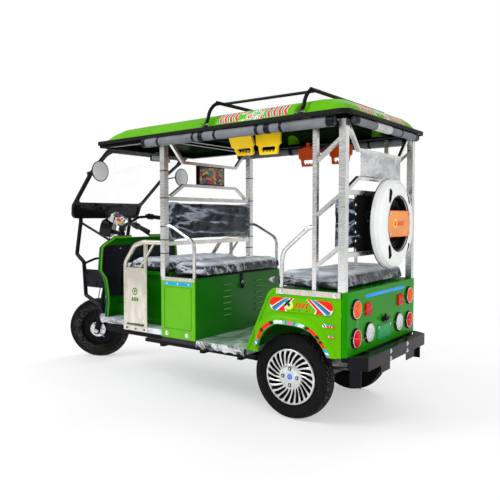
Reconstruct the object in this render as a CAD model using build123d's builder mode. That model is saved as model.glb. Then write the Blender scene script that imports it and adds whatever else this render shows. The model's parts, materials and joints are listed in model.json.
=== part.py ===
# Electric rickshaw: a tubular steel cabin on a ladder chassis, seats for a driver and passengers.
# Millimetres. Z up, the vehicle faces -Y and +X is its left. The rear axle is at rear_y.
from build123d import *
from math import cos, radians, sin, sqrt
import os

# Wheels and steering
wheelbase = 2078
tyre_radius = 240
tyre_width = 90
crown_radius = 45
crown_centre = tyre_radius - crown_radius
rim_radius = 152
rake = radians(16)
fork_offset = 35
steer_angle = radians(33)

# Body
half_width = 477
wheel_inset = 117
track_half = half_width - wheel_inset
box_inset = 12
box_half = half_width - box_inset
seat_inset = 35
box_front, box_back = -929, -646
box_bottom, box_top = 375, 755
floor_top = 375
driver_floor_top = 410
tray_depth = 35
deck_top = 745
sheet = 3
seated = 0.3
post = 38
post_inset = 2
post_out = half_width - post_inset
post_in = post_out - post
front_post_y = -911
rear_post_y = 350
thin_post_y = 188
tube = 15
rail_x = post_out - tube - 5
bumper_back = 473

# Roof
roof_front, roof_back = -1520, 404
eave_front, eave_back = 15, 65
roof_front_half, roof_back_half = post_out + eave_front, post_out + eave_back
roof_level, roof_mid = 1640, -552
roof_tilt = radians(0.72)
rail_deep = 25

# Rest pose of the steered wheel, which stands on the ground turned to the left
axis_lean_x = sin(steer_angle) * cos(rake)
axis_lean_z = sin(steer_angle) * sin(rake)
hub_drop = fork_offset * cos(steer_angle)
foot_z = crown_centre * sqrt(1 - axis_lean_z**2) + crown_radius - hub_drop * sin(rake)
foot_y = -wheelbase + fork_offset * cos(rake)
nose_y = foot_y - hub_drop * cos(rake) - crown_centre * sqrt(1 - axis_lean_x**2) - crown_radius
rear_y = -(nose_y + bumper_back) / 2


def at(x, y, z):
    return Vector(x, rear_y + y, z)


def side(x):
    return Plane(origin=at(x, 0, 0), x_dir=(0, 1, 0), z_dir=(1, 0, 0))


def across(y):
    return Plane(origin=at(0, y, 0), x_dir=(1, 0, 0), z_dir=(0, -1, 0))


def level(z):
    return Plane(origin=at(0, 0, z), x_dir=(1, 0, 0), z_dir=(0, 0, 1))


roof_plane = Plane(
    origin=at(0, roof_mid, roof_level), x_dir=(1, 0, 0), z_dir=(0, -sin(roof_tilt), cos(roof_tilt))
)
steer_foot = at(0, foot_y, foot_z)
steer_up = Vector(0, sin(rake), cos(rake))
steer_fore = Vector(0, -cos(rake), sin(rake))
steer_axis = Axis(steer_foot, steer_up)
turn = steer_angle * 180 / 3.141592653589793


def held(x, fore, up):
    """A point of the steered parts, given straight ahead and returned as parked."""
    reach = Vector(x, 0, 0) + steer_fore * fore
    return steer_foot + steer_up * up + reach.rotate(Axis((0, 0, 0), steer_up), turn)


def held_dir(x, fore, up=0):
    reach = Vector(x, 0, 0) + steer_fore * fore + steer_up * up
    return reach.rotate(Axis((0, 0, 0), steer_up), turn)


def held_plane(x, fore, up, x_dir, z_dir):
    return Plane(origin=held(x, fore, up), x_dir=held_dir(*x_dir), z_dir=held_dir(*z_dir))


def rod(points, radius, bend=0):
    with BuildLine() as run:
        if bend:
            FilletPolyline(*points, radius=bend)
        else:
            Polyline(*points)
    with BuildSketch(run.line ^ 0) as end:
        Circle(radius)
    sweep(sections=end.sketch, path=run.line)


def bar(points, wide, deep, x_dir):
    with BuildLine() as run:
        Polyline(*points)
    start = Vector(points[0])
    with BuildSketch(Plane(origin=start, x_dir=x_dir, z_dir=Vector(points[1]) - start)) as end:
        Rectangle(wide, deep)
    sweep(sections=end.sketch, path=run.line, transition=Transition.RIGHT)


def block(x, y, z, mode=Mode.ADD):
    with Locations(at((x[0] + x[1]) / 2, (y[0] + y[1]) / 2, (z[0] + z[1]) / 2)):
        Box(x[1] - x[0], y[1] - y[0], z[1] - z[0], mode=mode)


# Chassis
spring_inset = 110
chassis_rail_x = track_half - spring_inset
rail_wide, rail_high = 40, 50
low_rail_z = floor_top - tray_depth - rail_high / 2
high_rail_z = 385
head_low, head_high = 480, 690

with BuildPart() as chassis_frame:
    bar(
        [at(chassis_rail_x, -1700, low_rail_z), at(chassis_rail_x, -225, low_rail_z),
         at(chassis_rail_x, -140, high_rail_z), at(chassis_rail_x, bumper_back - 50, high_rail_z)],
        rail_wide, rail_high, (1, 0, 0),
    )
    mirror(about=Plane.YZ)
    for cross_y in (-1660, -1310, -960):
        cross_top = driver_floor_top - tray_depth
        cross_half = chassis_rail_x + rail_wide / 2
        block((-cross_half, cross_half), (cross_y - 20, cross_y + 20), (cross_top - 70, cross_top))
    for cross_y in (-960, -620, -330):
        block((-box_half + 25, box_half - 25), (cross_y - 15, cross_y + 15), (low_rail_z - 20, floor_top - tray_depth))
    # Outriggers under the floor's edges
    for low, high in ((-box_half - 1, -box_half + 29), (box_half - 29, box_half + 1)):
        block((low, high), (-1085, -200), (floor_top - tray_depth - 22, floor_top - tray_depth))
    block((-half_width + 27, half_width - 27), (340, 377), (high_rail_z - 5, high_rail_z + 25))
    # Neck from the front cross member to the head tube
    for side_sign in (-1, 1):
        head_at = steer_foot + steer_up * (head_low + 120) + Vector(side_sign * 24, 0, 0)
        rod([at(side_sign * 150, -1670, 335), at(side_sign * 150, -1815, 335),
             at(side_sign * 60, -1800, 640), head_at], 17, 40)
    rod([steer_foot + steer_up * head_low, steer_foot + steer_up * head_high], 30)
    with BuildSketch(Plane(origin=steer_foot + steer_up * (head_low - 10), x_dir=(1, 0, 0), z_dir=steer_up)):
        Circle(18)
    extrude(amount=head_high - head_low + 30, mode=Mode.SUBTRACT)
    # Spring hangers under the rails
    for hanger_y, low, high in ((-325, 258, 300), (325, 290, 370)):
        for side_sign in (-1, 1):
            for plate in (-17, 17):
                x = side_sign * chassis_rail_x + plate
                block((x - 3, x + 3), (hanger_y - 20, hanger_y + 20), (low, high))

with BuildPart() as floor_deck:
    block((-box_half, box_half), (box_front, -255), (floor_top - tray_depth, floor_top))
    block((-box_half + 4, box_half - 4), (box_front + 4, -259), (floor_top - tray_depth, floor_top - 4),
          Mode.SUBTRACT)

step_y, step_in = -1290, 108
driver_outline = [
    (-box_half, box_front), (-box_half, step_y), (-box_half + step_in, step_y), (-box_half + step_in, -1650),
    (-245, -1790), (245, -1790), (box_half - step_in, -1650), (box_half - step_in, step_y),
    (box_half, step_y), (box_half, box_front),
]
with BuildPart() as driver_floor:
    with BuildSketch(level(driver_floor_top - tray_depth)):
        with BuildLine():
            Polyline(*driver_outline, close=True)
        make_face()
    extrude(amount=tray_depth)
    with BuildSketch(level(driver_floor_top - tray_depth)):
        with BuildLine():
            Polyline(*driver_outline, close=True)
        make_face()
        offset(amount=-4, mode=Mode.REPLACE, kind=Kind.INTERSECTION)
    extrude(amount=tray_depth - 4, mode=Mode.SUBTRACT)

# Seat boxes
lid_front = -885
louvre_rows = [500 + 40 * row for row in range(6)]
louvre_columns = (158, -200)
press_in, press_deep = 26, 4
with BuildPart() as middle_box:
    block((-box_half, box_half), (box_front, box_back), (box_bottom, box_top))
    block((-box_half + sheet, box_half - sheet), (box_front + sheet, box_back - sheet),
          (box_bottom + sheet, box_top - sheet), Mode.SUBTRACT)
    block((-box_half + 30, box_half - 30), (lid_front, box_back - 20), (box_top - sheet, box_top),
          Mode.SUBTRACT)
    # Side cheeks with a pressed field, and louvres on the rear face
    for cheek in (-1, 1):
        inner, outer = cheek * box_half, cheek * (box_half + 7)
        block(sorted((inner, outer)), (box_front, box_back), (box_bottom - 4, box_top - 22))
        with BuildSketch(side(outer)):
            with Locations(((box_front + box_back) / 2, 562)):
                RectangleRounded(box_back - box_front - 2 * press_in, 270, 6)
                RectangleRounded(box_back - box_front - 2 * press_in - 12, 258, 4, mode=Mode.SUBTRACT)
        extrude(amount=-cheek * press_deep, mode=Mode.SUBTRACT)
    with BuildSketch(side(0)) as louvre:
        with BuildLine():
            Polyline((box_back - 1, 0), (box_back + 7, -6), (box_back + 7, -9), (box_back - 1, -13), close=True)
        make_face()
    for column in louvre_columns:
        for row in louvre_rows:
            extrude(louvre.sketch.moved(Location((column, 0, row))), amount=42, both=True)

with BuildPart() as battery_block:
    block((-box_half + 65, box_half - 65), (-900, -690), (box_bottom + sheet, box_bottom + sheet + 240))

plinth_half, plinth_front, plinth_top, seat_board_top = box_half - 105, -1163, 750, 774
with BuildPart() as driver_box:
    block((-plinth_half, plinth_half), (plinth_front, box_front), (driver_floor_top, plinth_top))
    block((-plinth_half + sheet, plinth_half - sheet), (plinth_front + sheet, box_front - sheet),
          (driver_floor_top + sheet, plinth_top - sheet), Mode.SUBTRACT)
    block((-box_half + 70, box_half - 70), (-1300, box_front), (plinth_top, seat_board_top))

hinge_radius = 4
hinge_z = box_top + hinge_radius + 0.2
with BuildPart() as seat_lid:
    block((-box_half + 32, box_half - 32), (lid_front + 2, box_back + 6), (box_top, box_top + 8))
    rod([at(-380, lid_front, hinge_z), at(380, lid_front, hinge_z)], hinge_radius)
    # Hasp with its padlock, hung over the box face
    block((-14, 14), (box_back + 2, box_back + 6), (box_top - 62, box_top))
    block((-12, 12), (box_back + 6, box_back + 18), (box_top - 98, box_top - 66))
    block((-7, 7), (box_back + 4, box_back + 10), (box_top - 68, box_top - 50))

with BuildPart() as middle_cushion:
    block((-box_half + seat_inset, box_half - seat_inset), (lid_front + 12, -600), (box_top + 8 + seated, 842))
    fillet(middle_cushion.edges().group_by(Axis.Z)[-1], 22)

with BuildPart() as driver_cushion:
    block((-box_half + 65, box_half - 65), (-1305, -938), (seat_board_top + seated, 850))
    fillet(driver_cushion.edges().group_by(Axis.Z)[-1], 22)

with BuildPart() as rear_cushion:
    block((-box_half + seat_inset, box_half - seat_inset), (-90, 328), (deck_top + seated, 830))
    fillet(rear_cushion.edges().group_by(Axis.Z)[-1], 22)

# Rear body
arch = [(-168, 405), (-152, 446), (-126, 487), (-98, 516), (-62, 540), (-20, 550), (80, 549), (130, 543),
        (183, 526), (220, 495), (250, 458), (285, 405)]
flare = [(-200, 405), (-180, 520), (-148, 560), (-100, 590), (-40, 606), (60, 607), (130, 600), (190, 582),
         (249, 540), (296, 480), (338, 405)]
arch_proud = 20
corner = 24
side_outline = [(-255, 375), (-105, 700), (-92, 722), (-70, 738), (-48, deck_top), (377 - corner, deck_top),
                (377 - corner, 405)]
pressings = ((114, 659, 404, 84, 40), (282, 568, 78, 26, 12), (300, 514, 42, 22, 10))
with BuildPart() as rear_side_panels:
    with BuildSketch(side(half_width)):
        with BuildLine():
            Polyline(*side_outline, *arch[::-1], (-168, 375), close=True)
        make_face()
    extrude(amount=sheet)
    # Raised bead along the sloping front edge
    bar([at(half_width + sheet, -243, 376), at(half_width + sheet, -96, 695), at(half_width + sheet, -60, 728)],
        10, 8, (1, 0, 0))
    # Wheel arch lip, proudest at the opening
    with BuildSketch(side(half_width + sheet)):
        with BuildLine():
            Polyline(*flare, *arch[::-1], close=True)
        make_face()
    with BuildSketch(side(half_width + sheet + arch_proud)):
        with BuildLine():
            Polyline(*[(y + (arch_y - y) * 0.55, z + (arch_z - z) * 0.55) for (y, z), (arch_y, arch_z) in
                       zip(flare, [arch[0]] + arch[2:])], *arch[::-1], close=True)
        make_face()
    loft(ruled=True)
    for press_y, press_z, press_long, press_high, press_round in pressings:
        with BuildSketch(side(half_width + sheet)):
            with Locations((press_y, press_z)):
                RectangleRounded(press_long, press_high, press_round)
        extrude(amount=6, taper=30)
    mirror(about=Plane.YZ)

panel_foot = high_rail_z + rail_high / 2
with BuildPart() as rear_panel:
    with BuildSketch(level(panel_foot)) as wrap:
        with BuildLine():
            x_out, x_in, y_out, y_in = half_width + sheet, half_width, 380, 377
            Line((-x_out, y_out - corner), (-x_in, y_out - corner))
            ThreePointArc((-x_in, y_out - corner), (-x_in + 0.293 * (corner - 3), y_in - 0.293 * (corner - 3)),
                          (-x_out + corner, y_in))
            Line((-x_out + corner, y_in), (x_out - corner, y_in))
            ThreePointArc((x_out - corner, y_in), (x_in - 0.293 * (corner - 3), y_in - 0.293 * (corner - 3)),
                          (x_in, y_out - corner))
            Line((x_in, y_out - corner), (x_out, y_out - corner))
            ThreePointArc((x_out, y_out - corner), (x_out - 0.293 * corner, y_out - 0.293 * corner),
                          (x_out - corner, y_out))
            Line((x_out - corner, y_out), (-x_out + corner, y_out))
            ThreePointArc((-x_out + corner, y_out), (-x_out + 0.293 * corner, y_out - 0.293 * corner),
                          (-x_out, y_out - corner))
        make_face()
    extrude(amount=deck_top - panel_foot)

with BuildPart() as rear_seat_base:
    with BuildSketch(side(-half_width)):
        with BuildLine():
            Polyline((-255, 375), (-105, 700), (-92, 722), (-70, 738), (-48, deck_top), (377 - corner, deck_top),
                     (377 - corner, deck_top - sheet), (-46, deck_top - sheet), (-68, 735), (-89, 720),
                     (-102, 699), (-252, 375), close=True)
        make_face()
    extrude(amount=2 * half_width)
    block((-half_width + corner, half_width - corner), (377 - corner, 377), (deck_top - sheet, deck_top))
    # Stainless sill strips carry the posts
with BuildPart() as sill_strips:
    for low, front, back, top in ((deck_top - 30, -40, 377 - corner, deck_top),
                                  (box_top - 22, box_front, box_back, box_top)):
        foot = half_width + sheet if low < 730 else box_half
        block((foot, foot + 8), (front, back), (low, top))
        for bolt_y in (front + 32, back - 32):
            with BuildSketch(side(foot + 8)):
                with Locations((bolt_y, low + 11)):
                    Circle(7)
            extrude(amount=5)
    # Edge of the driver's floor between the guard tubes
    block((box_half, box_half + 6), (-1285, -1060), (driver_floor_top - tray_depth + 2, driver_floor_top - 1))
    for bolt_y in (-1255, -1172, -1090):
        with BuildSketch(side(box_half + 6)):
            with Locations((bolt_y, driver_floor_top - 18)):
                Circle(7)
        extrude(amount=4)
    mirror(about=Plane.YZ)

lamp_y = 380
lamps = [(half_width - 109, 648, 56, 14), (half_width - 111, 495, 56, 14), (206, 504, 50, 14)]
with BuildPart() as rear_lamps:
    for lamp_x, lamp_z, lamp_r, lamp_out in lamps:
        for side_sign in (-1, 1):
            with BuildSketch(across(lamp_y + lamp_out)):
                with Locations((side_sign * lamp_x, lamp_z)):
                    Circle(lamp_r)
            extrude(amount=lamp_out)
    for side_sign in (-1, 1):
        block((side_sign * 225 - 48, side_sign * 225 + 48), (lamp_y, lamp_y + 8), (598, 671))

with BuildPart() as number_plate:
    block((-98, 98), (lamp_y, lamp_y + 4), (430, 530))
    block((-45, 45), (lamp_y, lamp_y + 22), (538, 562))

with BuildPart() as rear_bumper:
    with BuildSketch(level(342)) as channel:
        with BuildLine():
            Polyline((-406, bumper_back), (406, bumper_back), (452, 400), (452, 383), (447, 383), (447, 398),
                     (402, bumper_back - 4), (-402, bumper_back - 4), (-447, 398), (-447, 383), (-452, 383),
                     (-452, 400), close=True)
        make_face()
    extrude(amount=70)
    for flange_z in (342, 408):
        with BuildSketch(level(flange_z)):
            with BuildLine():
                Polyline((-406, bumper_back), (406, bumper_back), (452, 400), (452, 383), (418, 383),
                         (380, bumper_back - 50), (-380, bumper_back - 50), (-418, 383), (-452, 383),
                         (-452, 400), close=True)
            make_face()
        extrude(amount=4)
    with BuildSketch(Plane(origin=at(0, bumper_back + 5, 377), x_dir=(1, 0, 0), z_dir=(0, -1, 0))):
        with GridLocations(240, 40, 2, 2):
            Circle(5.5)
    extrude(amount=15, mode=Mode.SUBTRACT)
    for side_sign in (-1, 1):
        block((side_sign * 421 - 3, side_sign * 421 + 3), (377, 440), (252, 379.8))
        block((side_sign * 180 - 60, side_sign * 180 + 60), (bumper_back - 8, bumper_back - 3), (298, 346))

# Cabin frame
with BuildPart() as body_posts:
    block((post_in, post_out), (front_post_y - post / 2, front_post_y + post / 2), (box_top, 1700))
    block((post_in, post_out), (rear_post_y - post / 2, rear_post_y + post / 2), (deck_top, 1700))
    block((post_out - 30, post_out - 5), (thin_post_y - 12.5, thin_post_y + 12.5), (deck_top, 1700))
    for low, high in ((878, 979), (1143, 1244), (1425, 1530)):
        bar([at(post_out - 17, thin_post_y + 12, low), at(post_out - 17, rear_post_y - 17, high)], 20, 20,
            (1, 0, 0))
    mirror(about=Plane.YZ)
    split(bisect_by=roof_plane.offset(-rail_deep), keep=Keep.BOTTOM)

handle_x = post_in - 37
frame_front, frame_rear = -1500, rear_post_y + post / 2
frame_mid, frame_long = (frame_front + frame_rear) / 2, frame_rear - frame_front
with BuildPart() as roof_frame:
    with BuildSketch(roof_plane.offset(-rail_deep)):
        with Locations((0, frame_mid - roof_mid)):
            Rectangle(2 * post_out, frame_long)
            Rectangle(2 * post_in, frame_long - 2 * post, mode=Mode.SUBTRACT)
        for cross in (front_post_y - roof_mid, rear_post_y - roof_mid - 12, -260):
            with Locations((0, cross)):
                Rectangle(2 * post_in + 2, 30)
    extrude(amount=rail_deep)
    for side_sign in (-1, 1):
        rod([at(side_sign * handle_x, front_post_y, 1622), at(side_sign * handle_x, rear_post_y - 10, 1637)], 8)


def roof_section(height, inset_front, inset, corner_round):
    front, back = roof_front - roof_mid + inset_front, roof_back - roof_mid - inset
    front_half, back_half = roof_front_half - inset, roof_back_half - inset
    with BuildSketch(roof_plane.offset(height)) as section:
        with BuildLine():
            Polyline((-front_half, front), (front_half, front), (back_half, back), (-back_half, back),
                     close=True)
        make_face()
        fillet(section.vertices(), corner_round)
    return section.sketch


# Height above the eaves, inset at the front, inset at the sides and rear, corner radius
dome = ((12, 26, 26, 44), (58, 95, 52, 70), (86, 160, 82, 80), (102, 250, 140, 80), (109, 380, 260, 80))
roof_sheet = 4
rack_feet = (-530, 120)
rack_x = post_out + 22


def roof_form(shrink, dent_radius):
    loft([roof_section(height - shrink, front + shrink, inset + shrink, radius - shrink)
          for height, front, inset, radius in dome], ruled=True)
    with BuildSketch(roof_plane.offset(12 - shrink)) as dents:
        for foot_y in rack_feet:
            with Locations((-rack_x + 10, foot_y - roof_mid), (rack_x - 10, foot_y - roof_mid)):
                Circle(dent_radius)
    extrude(dents.sketch, amount=150, mode=Mode.SUBTRACT)


with BuildPart() as roof_outer:
    roof_form(0, 44)
with BuildPart() as roof_inner:
    roof_form(roof_sheet, 44 + roof_sheet)
with BuildPart() as roof_panel:
    extrude(roof_section(8, 0, 0, 44), amount=4)
    add(roof_outer.part)
    add(roof_inner.part, mode=Mode.SUBTRACT)
    extrude(roof_section(7.5, 30, 30, 40), amount=1, mode=Mode.SUBTRACT)

with BuildPart() as roof_trim:
    extrude(roof_section(-6, -5, -5, 49), amount=22)
    extrude(roof_section(-6, 9, 9, 20), amount=14, mode=Mode.SUBTRACT)
    extrude(roof_section(8, 0, 0, 44), amount=4.05, mode=Mode.SUBTRACT)
    extrude(roof_section(12, 9, 9, 36), amount=4.1, mode=Mode.SUBTRACT)

with BuildPart() as roof_rack:
    for foot_y, top_y, foot in zip(rack_feet, (-475, 157), (1652.5, 1660.6)):
        legs = [at(rack_x, foot_y, foot), at(rack_x, foot_y, foot + 12), at(rack_x - 18, foot_y + 12, 1745),
                at(rack_x - 60, top_y, 1800)]
        rod([Vector(-leg.X, leg.Y, leg.Z) for leg in legs] + legs[::-1], 9, 6)
    for side_sign in (-1, 1):
        rod([at(side_sign * 400, -475, 1800), at(side_sign * 400, 157, 1800)], 8)

roll_radius = 27
with BuildPart() as curtain_rolls:
    for side_sign in (-1, 1):
        x = side_sign * (post_out + roll_radius + 0.3)
        rod([at(x, -1040, 1600), at(x, 320, 1615)], roll_radius)
    rod([at(-post_in + 7, frame_rear + 21.3, 1622), at(post_in - 7, frame_rear + 21.3, 1622)], 21)

handle_wide, handle_thick = 82, 16
handles = (
    # x of the bar, y of the hook, twist of the plate about the vertical
    (handle_x, -360, 28), (handle_x, -155, 4), (-handle_x, -360, 6), (-handle_x, -110, -5),
)
with BuildPart() as grab_handles:
    for x, hook_y, twist in handles:
        bar_z = 1622 + (hook_y - front_post_y) * 15 / (rear_post_y - 10 - front_post_y)
        face = Plane(origin=at(x, hook_y, bar_z), x_dir=(0, 1, 0), z_dir=(1, 0, 0)).rotated((0, twist, 0))
        with BuildSketch(face.offset(-handle_thick / 2)) as plate:
            with BuildLine():
                Polyline((-28, -12), (28, -12), (handle_wide, -24), (handle_wide, -88), (66, -98),
                         (60, -146), (-60, -146), (-66, -98), (-handle_wide, -88), (-handle_wide, -24),
                         close=True)
            make_face()
            fillet(plate.vertices(), 7)
            with Locations((0, -112)):
                RectangleRounded(98, 20, 8, mode=Mode.SUBTRACT)
            with Locations((-34, -123), (-11, -123), (11, -123), (34, -123)):
                Circle(10, mode=Mode.SUBTRACT)
        extrude(amount=handle_thick)
        block((x - 15, x + 15), (hook_y - 12, hook_y + 12), (bar_z - 26, bar_z + 14))
        with BuildSketch(across(hook_y + 20)):
            with Locations((x, bar_z)):
                Circle(8.3)
        extrude(amount=40, mode=Mode.SUBTRACT)

# Backrests, boards and their rails
backs = (
    # y of the rails, pad front and back, pad half width, low and high rail
    (front_post_y, front_post_y - 42, front_post_y + 45, post_in - 12, 963, 1250),
    (rear_post_y - 8, rear_post_y - 85, rear_post_y - 8 - 12.5, post_in - 12, 935, 1262),
)
with BuildPart() as backrest_frames:
    for rail_y, pad_front, pad_back, pad_half, low, high in backs:
        for z in (low, high):
            bar([at(-post_in, rail_y, z), at(post_in, rail_y, z)], 25, 25, (0, 1, 0))
        for end_z, mid_z in ((high + 10, 1340), (1620, 1488)):
            bar([at(-post_in + 27, rail_y, end_z), at(-280, rail_y, mid_z), at(280, rail_y, mid_z),
                 at(post_in - 27, rail_y, end_z)], 20, 20, (0, 1, 0))
    split(bisect_by=roof_plane.offset(-rail_deep), keep=Keep.BOTTOM)

with BuildPart() as backrests:
    block((-post_in + 12, post_in - 12), (front_post_y - 42, front_post_y + 45), (975.8, 1237.2))
    fillet(backrests.edges().filter_by(Axis.Y), 20)
    block((-post_in + 12, post_in - 12), (rear_post_y - 85, rear_post_y - 24.8), (947.8, 1249.2))

with BuildPart() as sign_boards:
    block((-137, 137), (front_post_y - 14, front_post_y - 10), (1350, 1478))
    block((-137, 137), (front_post_y + 10, front_post_y + 14), (1350, 1478))
    block((-270, 270), (rear_post_y + 2, rear_post_y + 6), (1350, 1478))
    # Backing board of the rear backrest, held between its posts
    block((-285, 285), (rear_post_y - 24.5, rear_post_y - 20.5), (930, 1270))

with BuildPart() as grab_rails:
    rod([at(rail_x, -662, box_top), at(rail_x, -662, 975), at(rail_x, -860, 1077),
         at(rail_x, front_post_y + post / 2, 1077)], 11, 30)
    rod([at(rail_x, -22, deck_top), at(rail_x, -22, 955), at(rail_x, 150, 1078),
         at(rail_x, thin_post_y - 12.5, 1078)], 11, 20)
    mirror(about=Plane.YZ)

guard_front = -1276
with BuildPart() as door_guards:
    rod([at(rail_x, guard_front, driver_floor_top), at(rail_x, guard_front, 831),
         at(rail_x, -1188, 945), at(rail_x, -1102, 968), at(rail_x, front_post_y - post / 2, 968)], tube, 60)
    rod([at(rail_x, -1085, driver_floor_top), at(rail_x, -1085, 966)], tube - 1)
    rod([at(rail_x, -1011, 958), at(rail_x, guard_front + 5, 631)], 9)
    block((rail_x + 8, rail_x + 10), (guard_front, -1085), (427, 798))
    mirror(about=Plane.YZ)

# Windshield: one curved band, cut to a tapering outline
shield_low, shield_high = 1122, 1640


def curved_band(near, far):
    with BuildSketch(side(-450)) as band:
        with BuildLine():
            front = [(-2003 - far, shield_low - 2), (-1974 - far, 1222), (-1730 - far, 1450),
                     (-1440, shield_high + far)]
            back = [(-1440, shield_high - near), (-1730 + near, 1450), (-1974 + near, 1222),
                    (-2003 + near, shield_low - 2)]
            Polyline(*front, *back, close=True)
        make_face()
    return band.sketch


def shield_face(low, high, inset, low_round, high_round=5):
    with BuildSketch(across(-1400)) as face:
        with BuildLine():
            foot = 332 - inset + (low - shield_low) * 0.145
            head = 332 - inset + (high - shield_low) * 0.145
            Polyline((-foot, low), (foot, low), (head, high), (-head, high), close=True)
        make_face()
        fillet(face.vertices().group_by(Axis.Z)[0], low_round)
        fillet(face.vertices().group_by(Axis.Z)[-1], high_round)
    return face.sketch


pane_low, pane_high = 1244, shield_high - 55
with BuildPart() as windshield_frame:
    extrude(curved_band(12, 12), amount=900)
    extrude(shield_face(shield_low, shield_high, 0, 48), amount=700, mode=Mode.INTERSECT)
    extrude(shield_face(pane_low, pane_high, 26, 36, 30), amount=700, mode=Mode.SUBTRACT)
    extrude(shield_face(shield_low + 18, pane_low - 28, 22, 32), amount=700, mode=Mode.SUBTRACT)
    split(bisect_by=roof_plane.offset(-rail_deep), keep=Keep.BOTTOM)

with BuildPart() as windshield_glass:
    extrude(curved_band(2, 2), amount=900)
    extrude(shield_face(pane_low, pane_high, 26, 36, 30), amount=700, mode=Mode.INTERSECT)

with BuildPart() as windshield_apron:
    extrude(curved_band(3, 3), amount=900)
    extrude(shield_face(shield_low + 18, pane_low - 28, 22, 32), amount=700, mode=Mode.INTERSECT)

mirror_x, mirror_y, mirror_z = 418, -1566, 1454
with BuildPart() as mirrors:
    for side_sign in (-1, 1):
        with BuildSketch(Plane(origin=at(side_sign * mirror_x, mirror_y, mirror_z), x_dir=(0, 0, 1),
                               z_dir=(0, 1, 0))):
            Circle(72)
        extrude(amount=-18)
        rod([at(side_sign * mirror_x, mirror_y - 10, mirror_z), at(side_sign * mirror_x, -1690, mirror_z),
             at(side_sign * 396, -1738, 1440), at(side_sign * 379.2, -1738, 1440)], 5, 4)
    block((-100, 100), (-1400, -1388), (1540, 1585))
    rod([at(0, -1394, 1570), at(0, -1394, 1612), at(0, frame_front + post + 0.5, 1612)], 6, 12)

# Nose
guard_x = 250
guard_side = [(-2003, shield_low), (-2003, 1100), (-2056, 846), (-1973, 787), (-1955, 533), (-1790, 470),
              (-1762, 445), (-1762, driver_floor_top)]
with BuildPart() as front_guard:
    rod([at(guard_x, *point) for point in guard_side], tube, 20)
    rod([at(guard_x, -2003, 1092), at(guard_x - 20, -1643.5, 940)], 9)
    # Plate behind the tube with its stay, and the curved brace to the head tube
    block((guard_x - 4, guard_x + 4), (-1966, -1760), (600, 735))
    rod([at(guard_x, -1765, 660), at(guard_x, -1643.5, 660)], 8)
    rod([at(guard_x, -1973, 775), at(150, -1964, 808), at(24, -1876, 824)], 9, 60)
    mirror(about=Plane.YZ)
    block((-guard_x, guard_x), (-1770, -1754), (driver_floor_top, 430))
    add(chassis_frame.part, mode=Mode.SUBTRACT)

shield_outline = [
    (255, 982), (375, 915), (392, 754), (342, 685), (330, 617), (322, 530), (333, driver_floor_top),
]
shield_front, shield_deep, lip = -1640, 34, 9


def shield_form(shrink, low=-1000, high=2000):
    with BuildSketch(across(shield_front + shield_deep)) as face:
        with BuildLine():
            Polyline(*shield_outline, *[(-x, z) for x, z in shield_outline[::-1]], close=True)
        make_face()
        fillet(face.vertices().group_by(Axis.Z)[1:], 16)
        if shrink:
            offset(amount=-shrink, kind=Kind.INTERSECTION, mode=Mode.REPLACE)
        with Locations((0, (low + high) / 2)):
            Rectangle(1000, high - low, mode=Mode.INTERSECT)
    return face.sketch


with BuildPart() as leg_shield:
    extrude(shield_form(0), amount=shield_deep)
    extrude(shield_form(lip), amount=shield_deep - 4, mode=Mode.SUBTRACT)
    block((-225, 225), (shield_front + 4, shield_front + 84), (driver_floor_top, 500))
    block((-200, 200), (shield_front + 4, shield_front + 54), (500, 552))

with BuildPart() as shield_pocket:
    extrude(shield_form(lip + 2, 558, 925), amount=shield_deep - 4.3)

# Steered parts
fork_half = 78
clamp_up = 850
with BuildPart() as steering_fork:
    rod([held(0, 0, 400), held(0, 0, clamp_up - 22)], 17)
    for side_sign in (-1, 1):
        rod([held(side_sign * fork_half, fork_offset, -20), held(side_sign * fork_half, fork_offset, 415)], 17)
    with BuildSketch(held_plane(0, 0, 395, (1, 0), (0, 0, 1))):
        with Locations((0, -fork_offset / 2)):
            RectangleRounded(2 * fork_half + 50, fork_offset + 50, 20)
    extrude(amount=24)
    rod([held(-fork_half, fork_offset, 0), held(fork_half, fork_offset, 0)], 11.6)
    # Lower sliders are thicker, with the axle lugs
    for side_sign in (-1, 1):
        rod([held(side_sign * fork_half, fork_offset, -26), held(side_sign * fork_half, fork_offset, 230)], 22)

with BuildPart() as front_brake:
    with BuildSketch(held_plane(47, fork_offset, 0, (0, 1), (1, 0))):
        Circle(62)
        Circle(11.9, mode=Mode.SUBTRACT)
    extrude(amount=8)
    with BuildSketch(held_plane(55, fork_offset, 0, (0, 1), (1, 0))):
        with Locations((-44, 0)):
            Rectangle(30, 18)
    extrude(amount=6)

bar_path = ((0, 0, 10), (95, 0, 10), (160, -70, 80), (225, -150, 95), (310, -262, 92))
with BuildPart() as handlebar:
    rod([held(-x, fore, up + clamp_up) for x, fore, up in bar_path[:0:-1]] +
        [held(x, fore, up + clamp_up) for x, fore, up in bar_path[1:]], 11, 26)
    with BuildSketch(held_plane(0, 0, clamp_up - 22, (1, 0), (0, 0, 1))):
        Rectangle(60, 44)
    extrude(amount=44)

grip_way = (Vector(bar_path[-1]) - Vector(bar_path[-2])).normalized()
with BuildPart() as hand_grips:
    for side_sign in (-1, 1):
        start = Vector(bar_path[-1][0], bar_path[-1][1], bar_path[-1][2] + clamp_up) - grip_way * 118
        ends = [start, start + grip_way * 126]
        rod([held(side_sign * end.X, end.Y, end.Z) for end in ends], 17)
        switch = [start - grip_way * 42, start]
        rod([held(side_sign * end.X, end.Y, end.Z) for end in switch], 24)
        lever = [start - grip_way * 22 + Vector(0, 40, 4), start + grip_way * 40 + Vector(0, 62, 6),
                 start + grip_way * 124 + Vector(0, 48, 2)]
        rod([held(side_sign * end.X, end.Y, end.Z) for end in lever], 5.5, 30)
        mount = [start - grip_way * 22, start - grip_way * 22 + Vector(0, 40, 4)]
        rod([held(side_sign * end.X, end.Y, end.Z) for end in mount], 9)
    add(handlebar.part, mode=Mode.SUBTRACT)

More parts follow.
